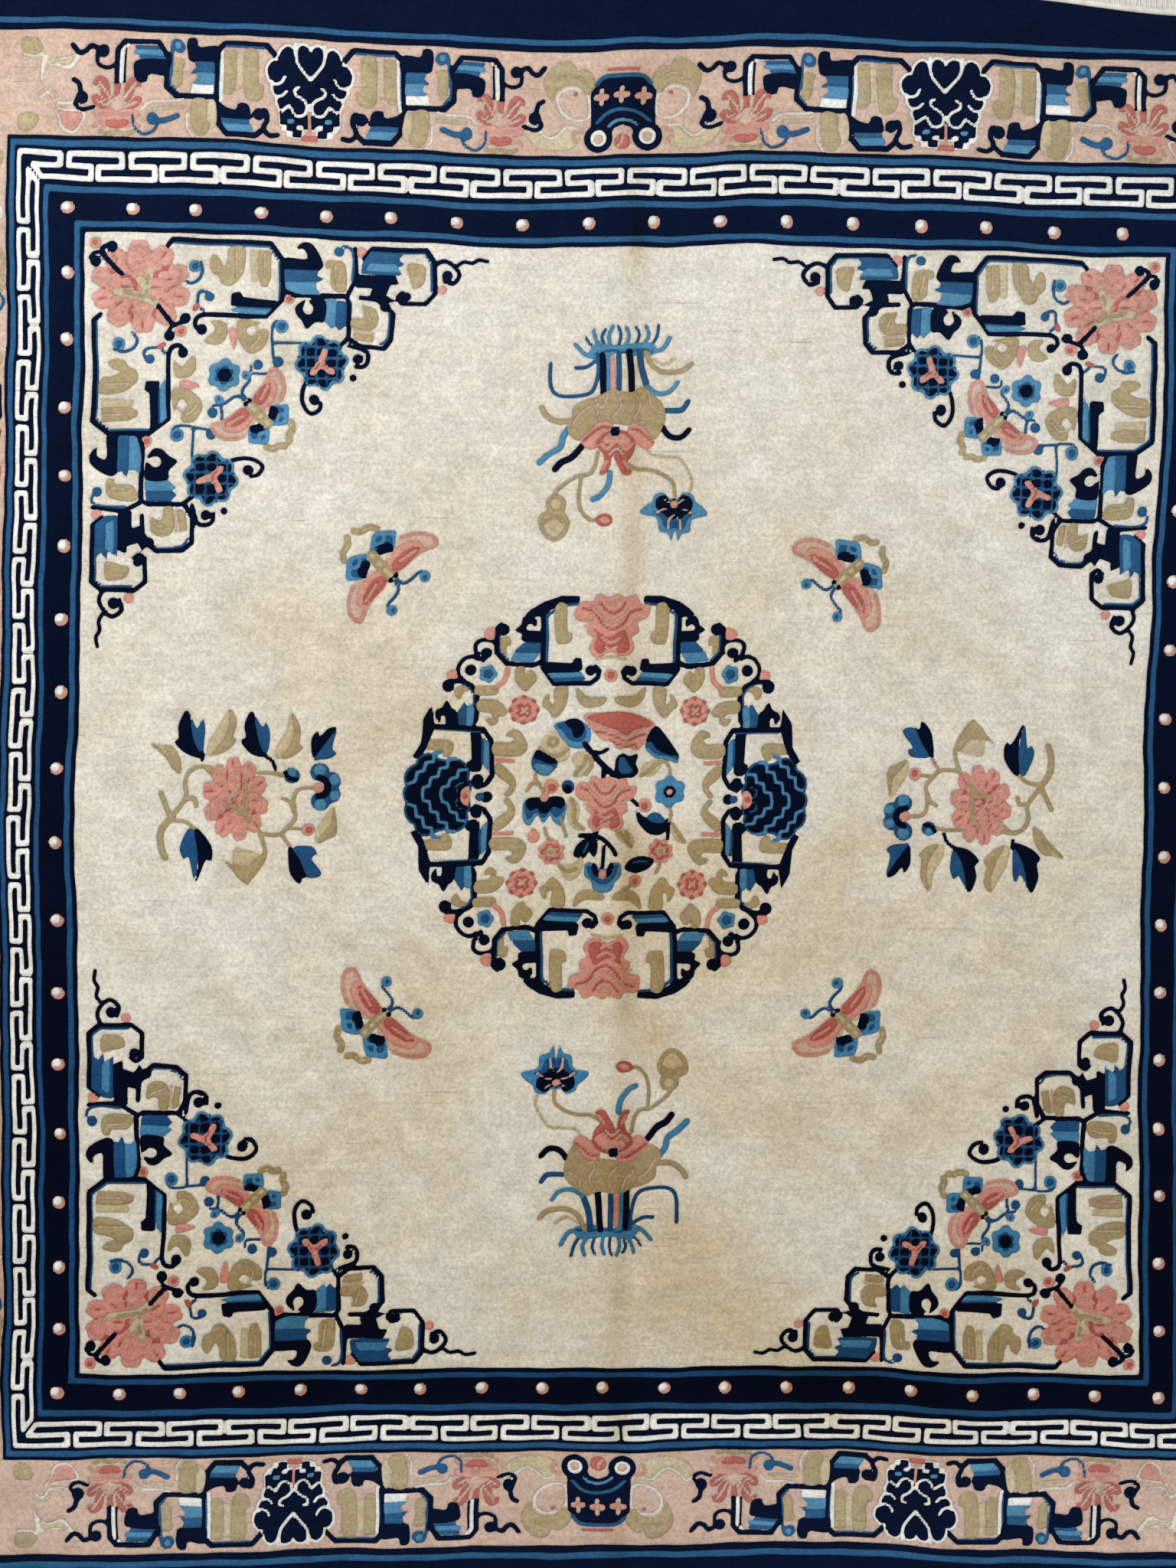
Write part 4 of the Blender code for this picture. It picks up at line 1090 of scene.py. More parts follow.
# The lotus sprays at the top and bottom of the field: a flower on its leaf, a pod and buds on stalks out of
# blue grass. The top one hangs from its grass, and its points are places on the rug; the bottom one stands.
LOTUS = (
    ("line", SKY, 6, (-50, 718), (-68, 722), (-84, 737)),
    ("line", ROYAL, 5, (-46, 732), (-60, 738), (-66, 748)),
    ("line", SKY, 5, (-46, 736), (-52, 748), (-55, 759)),
    ("line", ROYAL, 5, (-38, 734), (-42, 750), (-37, 760)),
    ("line", SKY, 5, (-30, 734), (-32, 750), (-27, 764)),
    ("line", ROYAL, 5, (-18, 732), (-15, 750), (-19, 764)),
    ("line", SKY, 5, (-6, 734), (-3, 750), (-7, 762)),
    ("line", ROYAL, 5, (8, 734), (13, 750), (8, 762)),
    ("line", SKY, 5, (20, 734), (28, 748), (24, 763)),
    ("line", ROYAL, 5, (30, 730), (40, 746), (44, 764)),
    ("line", SKY, 6, (34, 724), (50, 728), (60, 746)),
    ("line", ROYAL, 6, (-48, 716), (-68, 703), (-86, 702)),
    ("area", SKY, 0, (-64, 720), (-50, 738), (-20, 734), (10, 736), (34, 736), (40, 722), (16, 716),
     (-20, 722), (-46, 714)),
    ("line", ROYAL, 5, (-52, 722), (-30, 727), (-8, 723), (16, 726), (36, 724)),
    ("line", ROYAL, 6, (-50, 720), (-50, 692), (-60, 664), (-84, 656), (-110, 657), (-122, 672),
     (-124, 708)),
    ("bent", NAVY, 9, (-42, 720), (-42, 656)),
    ("bent", SKY, 5, (-34, 718), (-34, 656)),
    ("bent", PINK, 6, (-27, 716), (-26, 656)),
    ("bent", ROYAL, 8, (-18, 720), (-17, 656)),
    ("bent", CREAM, 6, (-10, 716), (-9, 656)),
    ("bent", NAVY, 9, (-2, 724), (3, 656)),
    ("line", ROYAL, 10, (14, 722), (17, 694), (27, 664)),
    ("line", SKY, 6, (26, 667), (44, 657), (64, 660), (75, 674)),
    ("line", OLIVE, 7, (24, 722), (34, 700), (52, 689), (80, 692), (94, 704)),
    ("line", TAN, 5, (34, 712), (52, 702), (70, 712)),
    ("line", ROYAL, 8, (52, 632), (70, 631), (84, 632), (93, 643)),
    ("line", NAVY, 8, (50, 611), (64, 595), (82, 592), (95, 603)),
    ("line", OLIVE, 8, (-85, 617), (-112, 616), (-128, 626), (-135, 638)),
    ("line", SKY, 9, (-91, 607), (-102, 592), (-106, 576), (-124, 564), (-138, 551)),
    ("line", NAVY, 9, (-74, 576), (-88, 560), (-104, 552), (-114, 541)),
    ("line", OLIVE, 5, (-48, 567), (-52, 545), (-62, 532), (-80, 530), (-105, 512), (-114, 498)),
    ("line", OLIVE, 5, (0, 548), (15, 540), (35, 538), (55, 532), (72, 520), (74, 498)),
    ("line", TAN, 4.5, (28, 584), (35, 565), (60, 560), (80, 558), (95, 540), (103, 520), (98, 505)),
    ("line", OLIVE, 5, (-74, 530), (-76, 500), (-72, 478), (-58, 463), (-44, 462)),
    ("line", SKY, 8, (-28, 534), (-31, 515), (-44, 498), (-54, 494)),
    ("area", OLIVE, 0, (-52, 656), (-30, 665), (0, 660), (20, 666), (40, 652), (52, 640), (56, 620),
     (48, 596), (35, 585), (15, 606), (-20, 612), (-45, 614), (-60, 600), (-76, 586), (-90, 592),
     (-96, 606), (-88, 622), (-86, 640), (-66, 652)),
    ("line", BLUSH, 5.2, (-88, 608), (-74, 632), (-56, 640), (-46, 616)),
    ("line", BLUSH, 5.2, (-56, 652), (-44, 636), (-34, 660)),
    ("line", BLUSH, 5.2, (-20, 662), (-14, 640), (-26, 622)),
    ("line", BLUSH, 5.2, (6, 660), (16, 640), (8, 620), (26, 612)),
    ("line", BLUSH, 5.2, (28, 660), (34, 638), (50, 628)),
    ("area", PINK, 0, (-76, 584), (-62, 600), (-48, 613), (-28, 614), (-26, 598), (-44, 580), (-60, 572)),
    ("area", PINK, 0, (4, 613), (22, 608), (34, 594), (42, 582), (30, 572), (12, 582), (0, 598)),
    ("line", ROSE, 5, (-72, 584), (-58, 596), (-42, 606), (-30, 606)),
    ("line", ROSE, 5, (40, 582), (28, 592), (16, 602), (4, 604)),
    ("area", ROSE, 0, (-49, 588), (-26, 602), (-4, 600), (12, 584), (8, 562), (0, 550), (8, 534),
     (-6, 531), (-17, 548), (-25, 562), (-28, 544), (-36, 532), (-46, 533), (-38, 547), (-40, 564),
     (-50, 576)),
    ("line", PINK, 5, (-44, 580), (-32, 572), (-18, 584), (-4, 570), (6, 578)),
    ("area", PINK, 0, (-40, 588), (-26, 597), (-8, 595), (4, 584), (0, 574), (-10, 582), (-20, 586),
     (-32, 580)),
    ("line", BLUSH, 4.4, (-30, 592), (-18, 590), (-6, 588)),
    ("line", BLUSH, 4.5, (-30, 562), (-18, 572), (-8, 562)),
    ("line", PINK, 4.6, (-40, 540), (-33, 552)),
    ("line", PINK, 4.6, (2, 540), (-6, 552)),
    ("block", NAVY, 0, (-28, 606), (-15, 607), (-14, 594), (-27, 593)),
    ("dot", OLIVE, 15, (-110, 486)),
    ("area", OLIVE, 0, (-138, 466), (-132, 444), (-114, 432), (-98, 440), (-90, 460), (-100, 476),
     (-120, 478)),
    ("area", TAN, 0, (-132, 464), (-127, 448), (-114, 438), (-102, 444), (-96, 460), (-104, 470),
     (-120, 472)),
    ("dot", TAN, 9, (-110, 487)),
    ("line", OLIVE, 4.5, (-128, 461), (-114, 468), (-99, 462)),
    ("area", ROSE, 0, (-50, 464), (-40, 470), (-28, 470), (-21, 460), (-30, 452), (-44, 454)),
    ("area", PINK, 0, (-44, 463), (-34, 466), (-26, 460), (-34, 456)),
)
LOTUS_FLOWER = (
    ("area", SKY, 0, (-2, -20), (2, -30), (5, -48), (11, -36), (24, -32), (28, -12), (52, -5), (44, 7),
     (34, 14), (30, 24), (16, 28), (8, 20), (-2, 16)),
    ("area", ROYAL, 0, (-2, -22), (7, -30), (17, -26), (22, -12), (34, -4), (20, 2), (-2, 2)),
    ("area", NAVY, 0, (-2, -10), (8, -12), (16, -6), (28, 4), (28, 18), (15, 25), (6, 16), (-2, 18)),
    ("line", BLUSH, 4.2, (0, -6), (8, -14), (10, -28)),
    ("line", BLUSH, 4.2, (8, 4), (18, 2), (28, -4)),
    ("line", BLUSH, 4.2, (6, 12), (16, 18)),
    ("dot", PINK, 6, (0, 10)),
)
LOTUS_FLOWER_AT = (72, 476)
LOWER_SPRAY_AT = (-28.0, 60.0)


def lotus_spray(place):
    """The spray, and the small flower at its end in two halves."""
    draw(LOTUS, place)
    flower_at = beyond(place, placed(*LOTUS_FLOWER_AT))
    draw(LOTUS_FLOWER, flower_at)
    draw(LOTUS_FLOWER, beyond(flower_at, MIRROR))


lotus_spray(STRAIGHT)
lotus_spray((np.diag([-1.0, -1.0]), np.array(LOWER_SPRAY_AT)))

# Four butterflies between the sprays, the same as those in the spandrels and a little larger, with their
# heads towards the medallion. Each row: place and heading.
BUTTERFLIES = (
    (-379.0, 385.0, -45.0),
    (352.0, 380.0, 225.0),
    (-382.0, -335.0, 45.0),
    (365.0, -330.0, 135.0),
)
for x, y, heading in BUTTERFLIES:
    butterfly(placed(x, y, heading, 0.92, 0.92))

# The pile's surface: cut wool 12 mm high, each knot a cell of the mesh, in straight rows set down in the
# wandering outline. The last rows are drawn together where the pile rolls over to the webs and selvedges, and
# it is clipped lower where two yarns meet, as carved rugs are.
# Each row: a knot's number from the edge, how far in it stands, and how high at most
EDGE_KNOTS = ((0, 0.0, 0.0006), (1, 0.0010, 0.0078), (2, 0.0036, 0.0112))
GROOVE_DEPTH = 0.0016
GROOVE_WIDTH = 2.4
# Hills in the surface and in the rows: height, seed, waves, shortest and longest wave
LUMPS = (0.0005, 13, 20, 0.012, 0.09)
ROW_WOBBLE = (0.0013, 12, 14, 0.06, 0.5)
COLUMN_WOBBLE = (0.0011, 11, 14, 0.05, 0.4)
WOBBLE_FADE = 0.08


def hills(x, y, height, seed, waves, low, high):
    """Smooth random hills: a sum of sines of random direction, wavelength between low and high, and phase."""
    rng = np.random.default_rng(seed)
    total = np.zeros_like(x)
    for _ in range(waves):
        heading = rng.uniform(0.0, math.tau)
        pitch = math.tau / rng.uniform(low, high)
        total += np.sin(pitch * (x * math.cos(heading) + y * math.sin(heading)) + rng.uniform(0.0, math.tau))
    return height * (total / math.sqrt(waves / 2.0))


def edge_heights(count):
    """How high each of a row's knots may stand: as listed near its ends, and a metre, so freely, between."""
    heights = np.ones(count)
    for index, _inset, height in EDGE_KNOTS:
        heights[[index, -1 - index]] = height
    return heights


def edge_insets(straight):
    """The straight places of a row or column, with those at its ends drawn together."""
    places = straight.copy()
    for index, inset, _height in EDGE_KNOTS:
        places[index] = straight[0] + inset
        places[-1 - index] = straight[-1] - inset
    return places


flat_x, flat_y = np.meshgrid(edge_insets(straight_x / 1000.0), edge_insets(straight_y / 1000.0))
from_edge = np.minimum(PILE_WIDTH / 2 - np.abs(flat_x), PILE_LENGTH / 2 - np.abs(flat_y))
inner = np.clip(from_edge / WOBBLE_FADE, 0.0, 1.0)
knot_x, knot_y = outline(
    flat_x + hills(flat_x, flat_y, *COLUMN_WOBBLE) * inner,
    flat_y + hills(flat_x, flat_y, *ROW_WOBBLE) * inner,
)
order = np.sort(fields, axis=0)
from_rim = 0.5 * (order[1] - order[0])
groove = np.exp(-((from_rim / GROOVE_WIDTH) ** 2))
pile_height = PILE_TOP + hills(flat_x, flat_y, *LUMPS) - GROOVE_DEPTH * groove
for edge_limit in (edge_heights(KNOTS[1] + 1)[:, None], edge_heights(KNOTS[0] + 1)[None, :]):
    pile_height = np.minimum(pile_height, edge_limit)
pile = np.stack([knot_x, knot_y, pile_height + lift(knot_x, knot_y)], -1)


def surface_normals(places):
    """Normals of a grid of places: the cross product of its two directions' differences."""
    across = np.gradient(places, axis=1)
    along = np.gradient(places, axis=0)
    normal = np.cross(across, along)
    return normal / np.linalg.norm(normal, axis=-1, keepdims=True)


# The wool's looks. In millimetres: how far fibres stray at a yarn's rim, over what distance two yarns mix,
# and how wide the sunk line between them is, which is also darkened as painted shade. In metres: the fold's
# place and half width. The tints are what the stains with their share of painted shade, the fold and wear
# multiply the yarns' colours by.
FIBRE_STRAY = 1.1
YARNS_MIX = 0.2
SUNK_LINE = 2.2
FOLD_AT = 0.008
FOLD_HALF = 0.034
STAIN_AND_SHADE_TINT = (0.82, 0.71, 0.54)
PATCH_TINT = (0.86, 0.82, 0.75)
FOLD_TINT = (0.74, 0.68, 0.58)
WEAR_TINT = (0.62, 0.56, 0.48)


def wool_material():
    """Cut wool: the yarn with the least distance, its colour clouded, striped by batches and worn, with
    painted shade towards the rug's foot and in the carved grooves.
    """
    made = bpy.data.materials.new("wool_pile")
    made.use_nodes = True
    nodes = made.node_tree.nodes
    links = made.node_tree.links
    shader = nodes["Principled BSDF"]
    coordinates = nodes.new("ShaderNodeTexCoord")
    place = nodes.new("ShaderNodeSeparateXYZ")
    links.new(coordinates.outputs["Object"], place.inputs[0])

    def fill(sockets, values):
        for socket, value in zip(sockets, values):
            if isinstance(value, tuple):
                socket.default_value = (*value, 1.0)
            elif isinstance(value, (int, float)):
                socket.default_value = value
            elif value is not None:
                links.new(value, socket)

    def math_node(operation, first, second=None, third=None):
        node = nodes.new("ShaderNodeMath")
        node.operation = operation
        fill(node.inputs, (first, second, third))
        return node.outputs[0]

    def noise(scale, detail, stretch=(1.0, 1.0, 1.0), roughness=0.5):
        mapping = nodes.new("ShaderNodeMapping")
        mapping.inputs["Scale"].default_value = stretch
        links.new(coordinates.outputs["Object"], mapping.inputs["Vector"])
        node = nodes.new("ShaderNodeTexNoise")
        fill([node.inputs[name] for name in ("Scale", "Detail", "Roughness")], (scale, detail, roughness))
        links.new(mapping.outputs["Vector"], node.inputs["Vector"])
        return node

    def ranged(value, start, end, low, high, smooth=False):
        node = nodes.new("ShaderNodeMapRange")
        if smooth:
            node.interpolation_type = "SMOOTHSTEP"
        fill(node.inputs[:5], (value, start, end, low, high))
        return node.outputs["Result"]

    def blend(mode, factor, first, second):
        node = nodes.new("ShaderNodeMix")
        node.data_type = "RGBA"
        node.blend_type = mode
        fill((node.inputs[0], node.inputs[6], node.inputs[7]), (factor, first, second))
        return node.outputs[2]

    # The yarn whose distance is the least, with the fibres' own unevenness at its rim
    fibre = noise(420.0, 1.0)
    fibre_parts = nodes.new("ShaderNodeSeparateColor")
    links.new(fibre.outputs["Color"], fibre_parts.inputs[0])
    nearest = None
    colour = None
    second = None
    for number, (name, base) in enumerate(YARNS):
        attribute = nodes.new("ShaderNodeAttribute")
        attribute.attribute_name = name
        strength = FIBRE_STRAY if number % 2 else -FIBRE_STRAY
        stray = fibre_parts.outputs[number % 3]
        jitter = math_node("MULTIPLY_ADD", stray, strength, attribute.outputs["Fac"])
        if nearest is None:
            nearest, second, colour = jitter, math_node("ADD", jitter, 100.0), base
            continue
        share = ranged(math_node("SUBTRACT", nearest, jitter), -YARNS_MIX, YARNS_MIX, 0.0, 1.0)
        colour = blend("MIX", share, colour, base)
        second = math_node("MINIMUM", second, math_node("MAXIMUM", nearest, jitter))
        nearest = math_node("MINIMUM", nearest, jitter)
    edge = math_node("MULTIPLY", math_node("SUBTRACT", second, nearest), 0.5)
    groove_share = ranged(edge, 0.0, SUNK_LINE, 1.0, 0.0, True)

    # Painted shade and age: the yarns darker and deeper towards the rug's foot as painted shade where the
    # light falls off, tan stains that grow towards the foot with an even painted shade, the fold down its
    # middle and thin lines of wear
    south = ranged(place.outputs["Y"], 0.95, -0.80, 0.0, 1.0)
    south = math_node("MULTIPLY", south, ranged(place.outputs["Y"], -1.04, -0.88, 0.12, 1.0))
    # Painted shade: the gamma rises towards the rug's foot, so the yarns there come out darker and deeper
    foot_shade_gamma = nodes.new("ShaderNodeGamma")
    fill(foot_shade_gamma.inputs, (colour, math_node("MULTIPLY_ADD", south, 0.34, 1.0)))
    # Tan stains, stronger towards the foot, plus an even share of painted shade that grows towards the rug's
    # foot
    stains_and_shade = ranged(noise(2.1, 6.0, (1.0, 1.3, 1.0), 0.66).outputs["Fac"], 0.40, 0.66, 0.0, 1.0)
    stains_and_shade = math_node("MULTIPLY", stains_and_shade, math_node("MULTIPLY_ADD", south, 0.74, 0.33))
    stains_and_shade = math_node("MULTIPLY_ADD", south, 0.26, stains_and_shade)
    sideways = ranged(math_node("ABSOLUTE", place.outputs["X"]), 0.30, 0.75, 1.0, 0.5, True)
    stains_and_shade = math_node("MULTIPLY", stains_and_shade, sideways)
    colour = blend("MULTIPLY", stains_and_shade, foot_shade_gamma.outputs[0], STAIN_AND_SHADE_TINT)
    patches = ranged(noise(8.0, 6.0, (1.0, 1.5, 1.0), 0.68).outputs["Fac"], 0.46, 0.70, 0.0, 0.8)
    colour = blend("MULTIPLY", patches, colour, PATCH_TINT)
    fold = math_node("ABSOLUTE", math_node("SUBTRACT", place.outputs["X"], FOLD_AT))
    fold = ranged(fold, FOLD_HALF, 0.0, 0.0, 1.0, True)
    fold = math_node("MULTIPLY", fold, ranged(noise(7.0, 3.0).outputs["Fac"], 0.38, 0.60, 0.12, 0.9))
    colour = blend("MULTIPLY", fold, colour, FOLD_TINT)
    wear = ranged(noise(1.0, 3.0, (9.0, 230.0, 1.0), 0.5).outputs["Fac"], 0.66, 0.76, 0.0, 0.8)
    colour = blend("MULTIPLY", wear, colour, WEAR_TINT)

    batches = ranged(noise(1.0, 4.0, (6.0, 130.0, 1.0), 0.6).outputs["Fac"], 0.3, 0.7, 0.94, 1.05)
    worn = ranged(noise(17.0, 6.0, (1.0, 1.4, 1.0), 0.72).outputs["Fac"], 0.32, 0.68, 0.87, 1.13)
    batches = math_node("MULTIPLY", batches, worn)
    tufts = noise(210.0, 2.0).outputs["Fac"]
    tone = math_node("MULTIPLY", batches, ranged(tufts, 0.3, 0.7, 0.82, 1.15))
    # Painted shade in the carved grooves: the tone is darkened by up to 18% where two yarns meet
    tone = math_node("MULTIPLY", tone, math_node("MULTIPLY_ADD", groove_share, -0.18, 1.0))
    scale = nodes.new("ShaderNodeVectorMath")
    scale.operation = "SCALE"
    links.new(colour, scale.inputs[0])
    links.new(tone, scale.inputs["Scale"])
    links.new(scale.outputs[0], shader.inputs["Base Color"])

    height = math_node("MULTIPLY_ADD", groove_share, -1.2, tufts)
    height = math_node("MULTIPLY_ADD", fibre.outputs["Fac"], 0.4, height)
    bump = nodes.new("ShaderNodeBump")
    bump.inputs["Strength"].default_value = 0.5
    bump.inputs["Distance"].default_value = 0.0012
    links.new(height, bump.inputs["Height"])
    links.new(bump.outputs["Normal"], shader.inputs["Normal"])
    shader.inputs["Roughness"].default_value = 0.95
    shader.inputs["Specular IOR Level"].default_value = 0.04
    shader.inputs["Sheen Weight"].default_value = 0.02
    shader.inputs["Sheen Roughness"].default_value = 0.5
    return made


wool = wool_material()
# The pile is five pieces, each a band of rows, so that none has too many triangles. Its map for baking holds
# the band's two halves one over the other, so that its cells come out nearly square.
BANDS_OF_ROWS = 5
HALF_IN_MAP = 0.49
MAP_MARGIN = 0.005
normals = surface_normals(pile)
band_ends = np.linspace(0, KNOTS[1], BANDS_OF_ROWS + 1).astype(int)
for number, (first, last) in enumerate(zip(band_ends, band_ends[1:])):
    rows = slice(first, last + 1)
    name = f"pile_rows_{number + 1}"
    mesh = quads_mesh(name, pile[rows].reshape(-1, 3), grid_quads(*pile[rows].shape[:2]))
    for yarn, (yarn_name, _base) in enumerate(YARNS):
        attribute = mesh.attributes.new(yarn_name, "FLOAT", "POINT")
        attribute.data.foreach_set("value", np.ascontiguousarray(fields[yarn, rows]).ravel())
    bake_map = mesh.uv_layers.new(name="OFBake")
    corners = np.empty(len(mesh.loops), np.int32)
    mesh.loops.foreach_get("vertex_index", corners)
    share_x = 2.0 * (corners % (KNOTS[0] + 1)) / KNOTS[0]
    share_y = (corners // (KNOTS[0] + 1)) / (last - first)
    on_right = np.arange(len(corners)) // 4 % KNOTS[0] >= KNOTS[0] // 2
    half_start = np.where(on_right, MAP_MARGIN, 0.5 + MAP_MARGIN)
    spots = np.stack([share_x - on_right, HALF_IN_MAP * share_y + half_start], -1)
    bake_map.data.foreach_set("uv", spots.astype(np.float32).ravel())
    mesh.normals_split_custom_set_from_vertices(normals[rows].reshape(-1, 3).astype(np.float32))
    band = add_object(name, mesh, wool)
    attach(band, "root")
    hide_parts("rug_pile")


# The foundation: cotton warps and wefts woven under the knots, the cloth that holds them and that the rug
# lies on, seen from below. It is one closed sheet, 3 mm thick, just inside the pile's rim.
def cotton_material():
    """Undyed cotton yarn: mottled cream with a fine bump."""
    made = bpy.data.materials.new("cotton_warp")
    made.use_nodes = True
    nodes = made.node_tree.nodes
    links = made.node_tree.links
    shader = nodes["Principled BSDF"]
    coordinates = nodes.new("ShaderNodeTexCoord")
    noise = nodes.new("ShaderNodeTexNoise")
    noise.inputs["Scale"].default_value = 60.0
    noise.inputs["Detail"].default_value = 4.0
    links.new(coordinates.outputs["Object"], noise.inputs["Vector"])
    ramp = nodes.new("ShaderNodeValToRGB")
    ramp.color_ramp.elements[0].position = 0.3
    ramp.color_ramp.elements[0].color = (0.60, 0.56, 0.47, 1.0)
    ramp.color_ramp.elements[1].position = 0.7
    ramp.color_ramp.elements[1].color = (0.80, 0.78, 0.70, 1.0)
    links.new(noise.outputs["Fac"], ramp.inputs["Fac"])
    links.new(ramp.outputs["Color"], shader.inputs["Base Color"])
    bump = nodes.new("ShaderNodeBump")
    bump.inputs["Strength"].default_value = 0.3
    bump.inputs["Distance"].default_value = 0.0006
    links.new(noise.outputs["Fac"], bump.inputs["Height"])
    links.new(bump.outputs["Normal"], shader.inputs["Normal"])
    shader.inputs["Roughness"].default_value = 0.9
    return made


cotton = cotton_material()
CLOTH_CELLS = (60, 62)
CLOTH_INSET = 0.0006
CLOTH_LEVELS = (0.0, 0.003)
cloth_x, cloth_y = np.meshgrid(
    np.linspace(-PILE_WIDTH / 2 + CLOTH_INSET, PILE_WIDTH / 2 - CLOTH_INSET, CLOTH_CELLS[0] + 1),
    np.linspace(-PILE_LENGTH / 2 + CLOTH_INSET, PILE_LENGTH / 2 - CLOTH_INSET, CLOTH_CELLS[1] + 1),
)
cloth_x, cloth_y = outline(cloth_x, cloth_y)
cloth_lift = lift(cloth_x, cloth_y)
layers = [np.stack([cloth_x, cloth_y, cloth_lift + level], -1) for level in CLOTH_LEVELS]
count = cloth_x.size
numbers = np.arange(count).reshape(cloth_x.shape)
upper = grid_quads(*cloth_x.shape)
rim = np.concatenate([numbers[0, :-1], numbers[:-1, -1], numbers[-1, :0:-1], numbers[:0:-1, 0]])
after = np.roll(rim, -1)
walls = np.stack([rim, after, after + count, rim + count], -1)
foundation = add_object(
    "foundation",
    quads_mesh(
        "foundation",
        np.concatenate([layer.reshape(-1, 3) for layer in layers]),
        np.concatenate([upper[:, ::-1], upper + count, walls]),
    ),
    cotton,
)
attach(foundation, "root")
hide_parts("rug_pile")

# The webs and fringes: past the last knots the warps and a few plain wefts make a flat cotton strip, and the
# warps go on in twisted pairs that lie on the floor. A strand is a tube along a wavy path of its own.
WEB_GAP = 0.0004
WEB_DEPTH = 0.012
WEB_TOP = 0.003
WEB_RIM = 0.0024
WEB_CELLS = 240
OFF_FLOOR = 0.0002
STRANDS = 300
STRAND_STEPS = 14
STRAND_SIDES = 6
STRAND_RADIUS = 0.0013
STRAND_LENGTH = 0.066
STRAND_LENGTH_SPREAD = 0.007
STRAND_IN_WEB = 0.003
ROOT_SPREAD = 0.0012
LEAN_SPREAD = 0.05
LEAN_LIMIT = 0.11
CURL = 0.0016
# Waves are in radians along a strand, its twist's ridge in shares of its radius, its tip in shares of its
# length
CURL_WAVE = 5.0
TWIST_WAVE = 40.0
TWIST_RIDGE = 0.12
TIP_END = 1.03
TIP_SHARE = 0.12


def web_strip(end):
    """A strip across the end of the rug: a row of places along each of its four edges."""
    straight = np.linspace(-PILE_WIDTH / 2, PILE_WIDTH / 2, WEB_CELLS + 1)
    x, y = outline(straight, np.full_like(straight, end * PILE_LENGTH / 2))
    near = y + end * WEB_GAP
    far = near + end * WEB_DEPTH
    edges = ((near, OFF_FLOOR), (far, OFF_FLOOR), (far, WEB_RIM), (near, WEB_TOP))
    places = np.stack([np.stack([x, edge, np.full_like(x, level)], -1) for edge, level in edges], 1)
    numbers = np.arange(places.shape[0] * 4).reshape(-1, 4)
    around = np.hstack([numbers, numbers[:, :1]])
    quads = np.stack([around[:-1, :-1], around[1:, :-1], around[1:, 1:], around[:-1, 1:]], -1).reshape(-1, 4)
    caps = np.stack([numbers[0], numbers[-1][::-1]])
    quads = np.concatenate([quads, caps])
    return places.reshape(-1, 3), quads if end > 0 else quads[:, ::-1]


def fringe_tubes(end, seed):
    """Tubes: place = path(step) + radius * (cos(side), sin(side)) across the path, tapered at its tip.

    The path leans aside by a share of its length and waves by curl * sin(CURL_WAVE * step + phase).
    """
    rng = np.random.default_rng(seed)
    root_x = (np.arange(STRANDS) + 0.5) / STRANDS * PILE_WIDTH - PILE_WIDTH / 2
    root_x += rng.uniform(-ROOT_SPREAD, ROOT_SPREAD, STRANDS)
    root_x, root_y = outline(root_x, np.full(STRANDS, end * PILE_LENGTH / 2))
    length = STRAND_LENGTH + rng.uniform(-1.0, 1.0, STRANDS) * STRAND_LENGTH_SPREAD
    lean = np.clip(rng.normal(0.0, LEAN_SPREAD, STRANDS), -LEAN_LIMIT, LEAN_LIMIT)
    curl = rng.normal(0.0, CURL, STRANDS)
    phase = rng.uniform(0.0, math.tau, STRANDS)
    step = np.linspace(0.0, 1.0, STRAND_STEPS)
    side = np.arange(STRAND_SIDES) / STRAND_SIDES * math.tau
    along = length[:, None] * step
    wave = curl[:, None] * np.sin(CURL_WAVE * step + phase[:, None]) - curl[:, None] * np.sin(phase)[:, None]
    path_x = root_x[:, None] + lean[:, None] * along + wave
    path_y = root_y[:, None] + end * (WEB_GAP + WEB_DEPTH - STRAND_IN_WEB + along)
    radius = STRAND_RADIUS * (1.0 + TWIST_RIDGE * np.sin(TWIST_WAVE * step))
    radius = radius * np.minimum(1.0, (TIP_END - step) / TIP_SHARE)
    offset_x = radius[None, :, None] * np.cos(side)
    offset_z = radius[None, :, None] * np.sin(side)
    x = path_x[:, :, None] + offset_x
    y = np.broadcast_to(path_y[:, :, None], x.shape)
    z = OFF_FLOOR + radius[None, :, None] + np.broadcast_to(offset_z, x.shape)
    places = np.stack([x, y, z], -1)
    numbers = np.arange(STRANDS * STRAND_STEPS * STRAND_SIDES).reshape(STRANDS, STRAND_STEPS, STRAND_SIDES)
    around = np.concatenate([numbers, numbers[:, :, :1]], -1)
    quads = np.stack([around[:, :-1, :-1], around[:, :-1, 1:], around[:, 1:, 1:], around[:, 1:, :-1]], -1)
    quads = quads.reshape(-1, 4)
    return places.reshape(-1, 3), quads[:, ::-1] if end > 0 else quads


for name, end, seed in (("fringe_top", 1.0, 21), ("fringe_bottom", -1.0, 22)):
    web_places, web_quads = web_strip(end)
    tube_places, tube_quads = fringe_tubes(end, seed)
    mesh = quads_mesh(
        f"{name}_strands",
        np.concatenate([web_places, tube_places]),
        np.concatenate([web_quads, tube_quads + len(web_places)]),
    )
    fringe = add_object(f"{name}_strands", mesh, cotton)
    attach(fringe, "root")
    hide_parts(name)

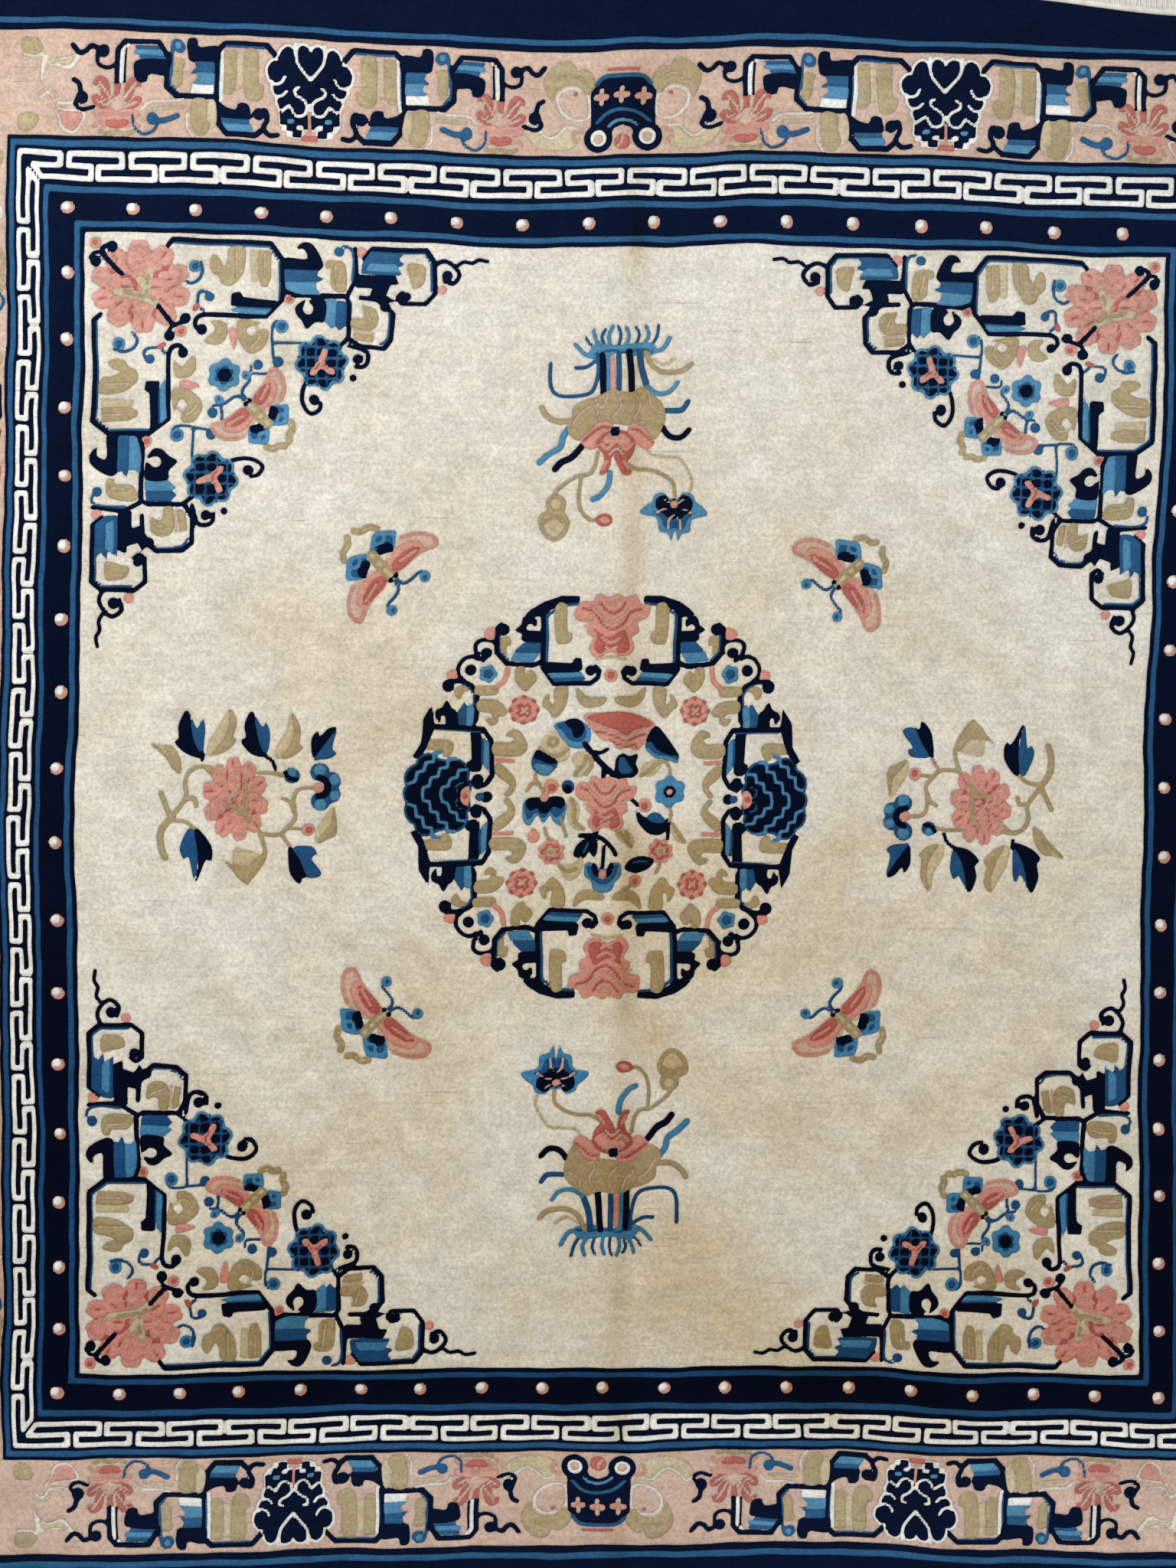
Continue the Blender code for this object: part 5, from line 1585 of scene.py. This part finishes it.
# The floor: pale and plain, a little larger than the view. It belongs to the stage and not to the rug.
FLOOR_HALF = 3.0
floor_corners = FLOOR_HALF * np.array([(-1, -1, 0), (1, -1, 0), (1, 1, 0), (-1, 1, 0)])
floor_mesh = quads_mesh("floor", floor_corners, np.array([[0, 1, 2, 3]]))
floor_finish = bpy.data.materials.new("floor")
floor_finish.use_nodes = True
floor_shader = floor_finish.node_tree.nodes["Principled BSDF"]
floor_shader.inputs["Base Color"].default_value = (0.62, 0.60, 0.57, 1.0)
floor_shader.inputs["Roughness"].default_value = 0.8
floor = add_object("floor", floor_mesh, floor_finish)

# Soft studio light: a large panel up and to the left, a weaker one on the right, and a grey surround. Each
# row: name, place, side in metres, power in watts, tint.
PANELS = (
    ("window_light", (-2.2, 1.6, 3.4), 2.4, 150.0, (1.0, 0.98, 0.95)),
    ("fill_light", (2.6, -1.2, 3.0), 2.6, 60.0, (0.95, 0.97, 1.0)),
)
for name, place, size, power, tint in PANELS:
    data = bpy.data.lights.new(name, "AREA")
    data.size = size
    data.energy = power
    data.color = tint
    panel = bpy.data.objects.new(name, data)
    panel.location = place
    reach = math.hypot(place[0], place[1])
    panel.rotation_euler = (0.0, math.atan2(reach, place[2]), math.atan2(place[1], place[0]))
    bpy.context.scene.collection.objects.link(panel)
surround = bpy.data.worlds.new("surround")
surround.use_nodes = True
surround.node_tree.nodes["Background"].inputs["Color"].default_value = (0.86, 0.88, 0.92, 1.0)
surround.node_tree.nodes["Background"].inputs["Strength"].default_value = 0.55
bpy.context.scene.world = surround
bpy.context.scene.view_settings.view_transform = "Standard"

# The camera looks straight down on the rug, turned and tilted by the little that the photo was. Its place,
# its turn and its lens are the ones that lay the field's four corners on the photo's.
camera_data = bpy.data.cameras.new("camera")
camera_data.sensor_fit = "VERTICAL"
camera_data.sensor_height = 36.0
camera_data.lens = 43.96
camera = bpy.data.objects.new("camera", camera_data)
camera.location = (-0.166, 0.149, 3.0)
camera.rotation_euler = [math.radians(angle) for angle in (-1.957, -2.085, 0.821)]
bpy.context.scene.collection.objects.link(camera)
bpy.context.scene.camera = camera
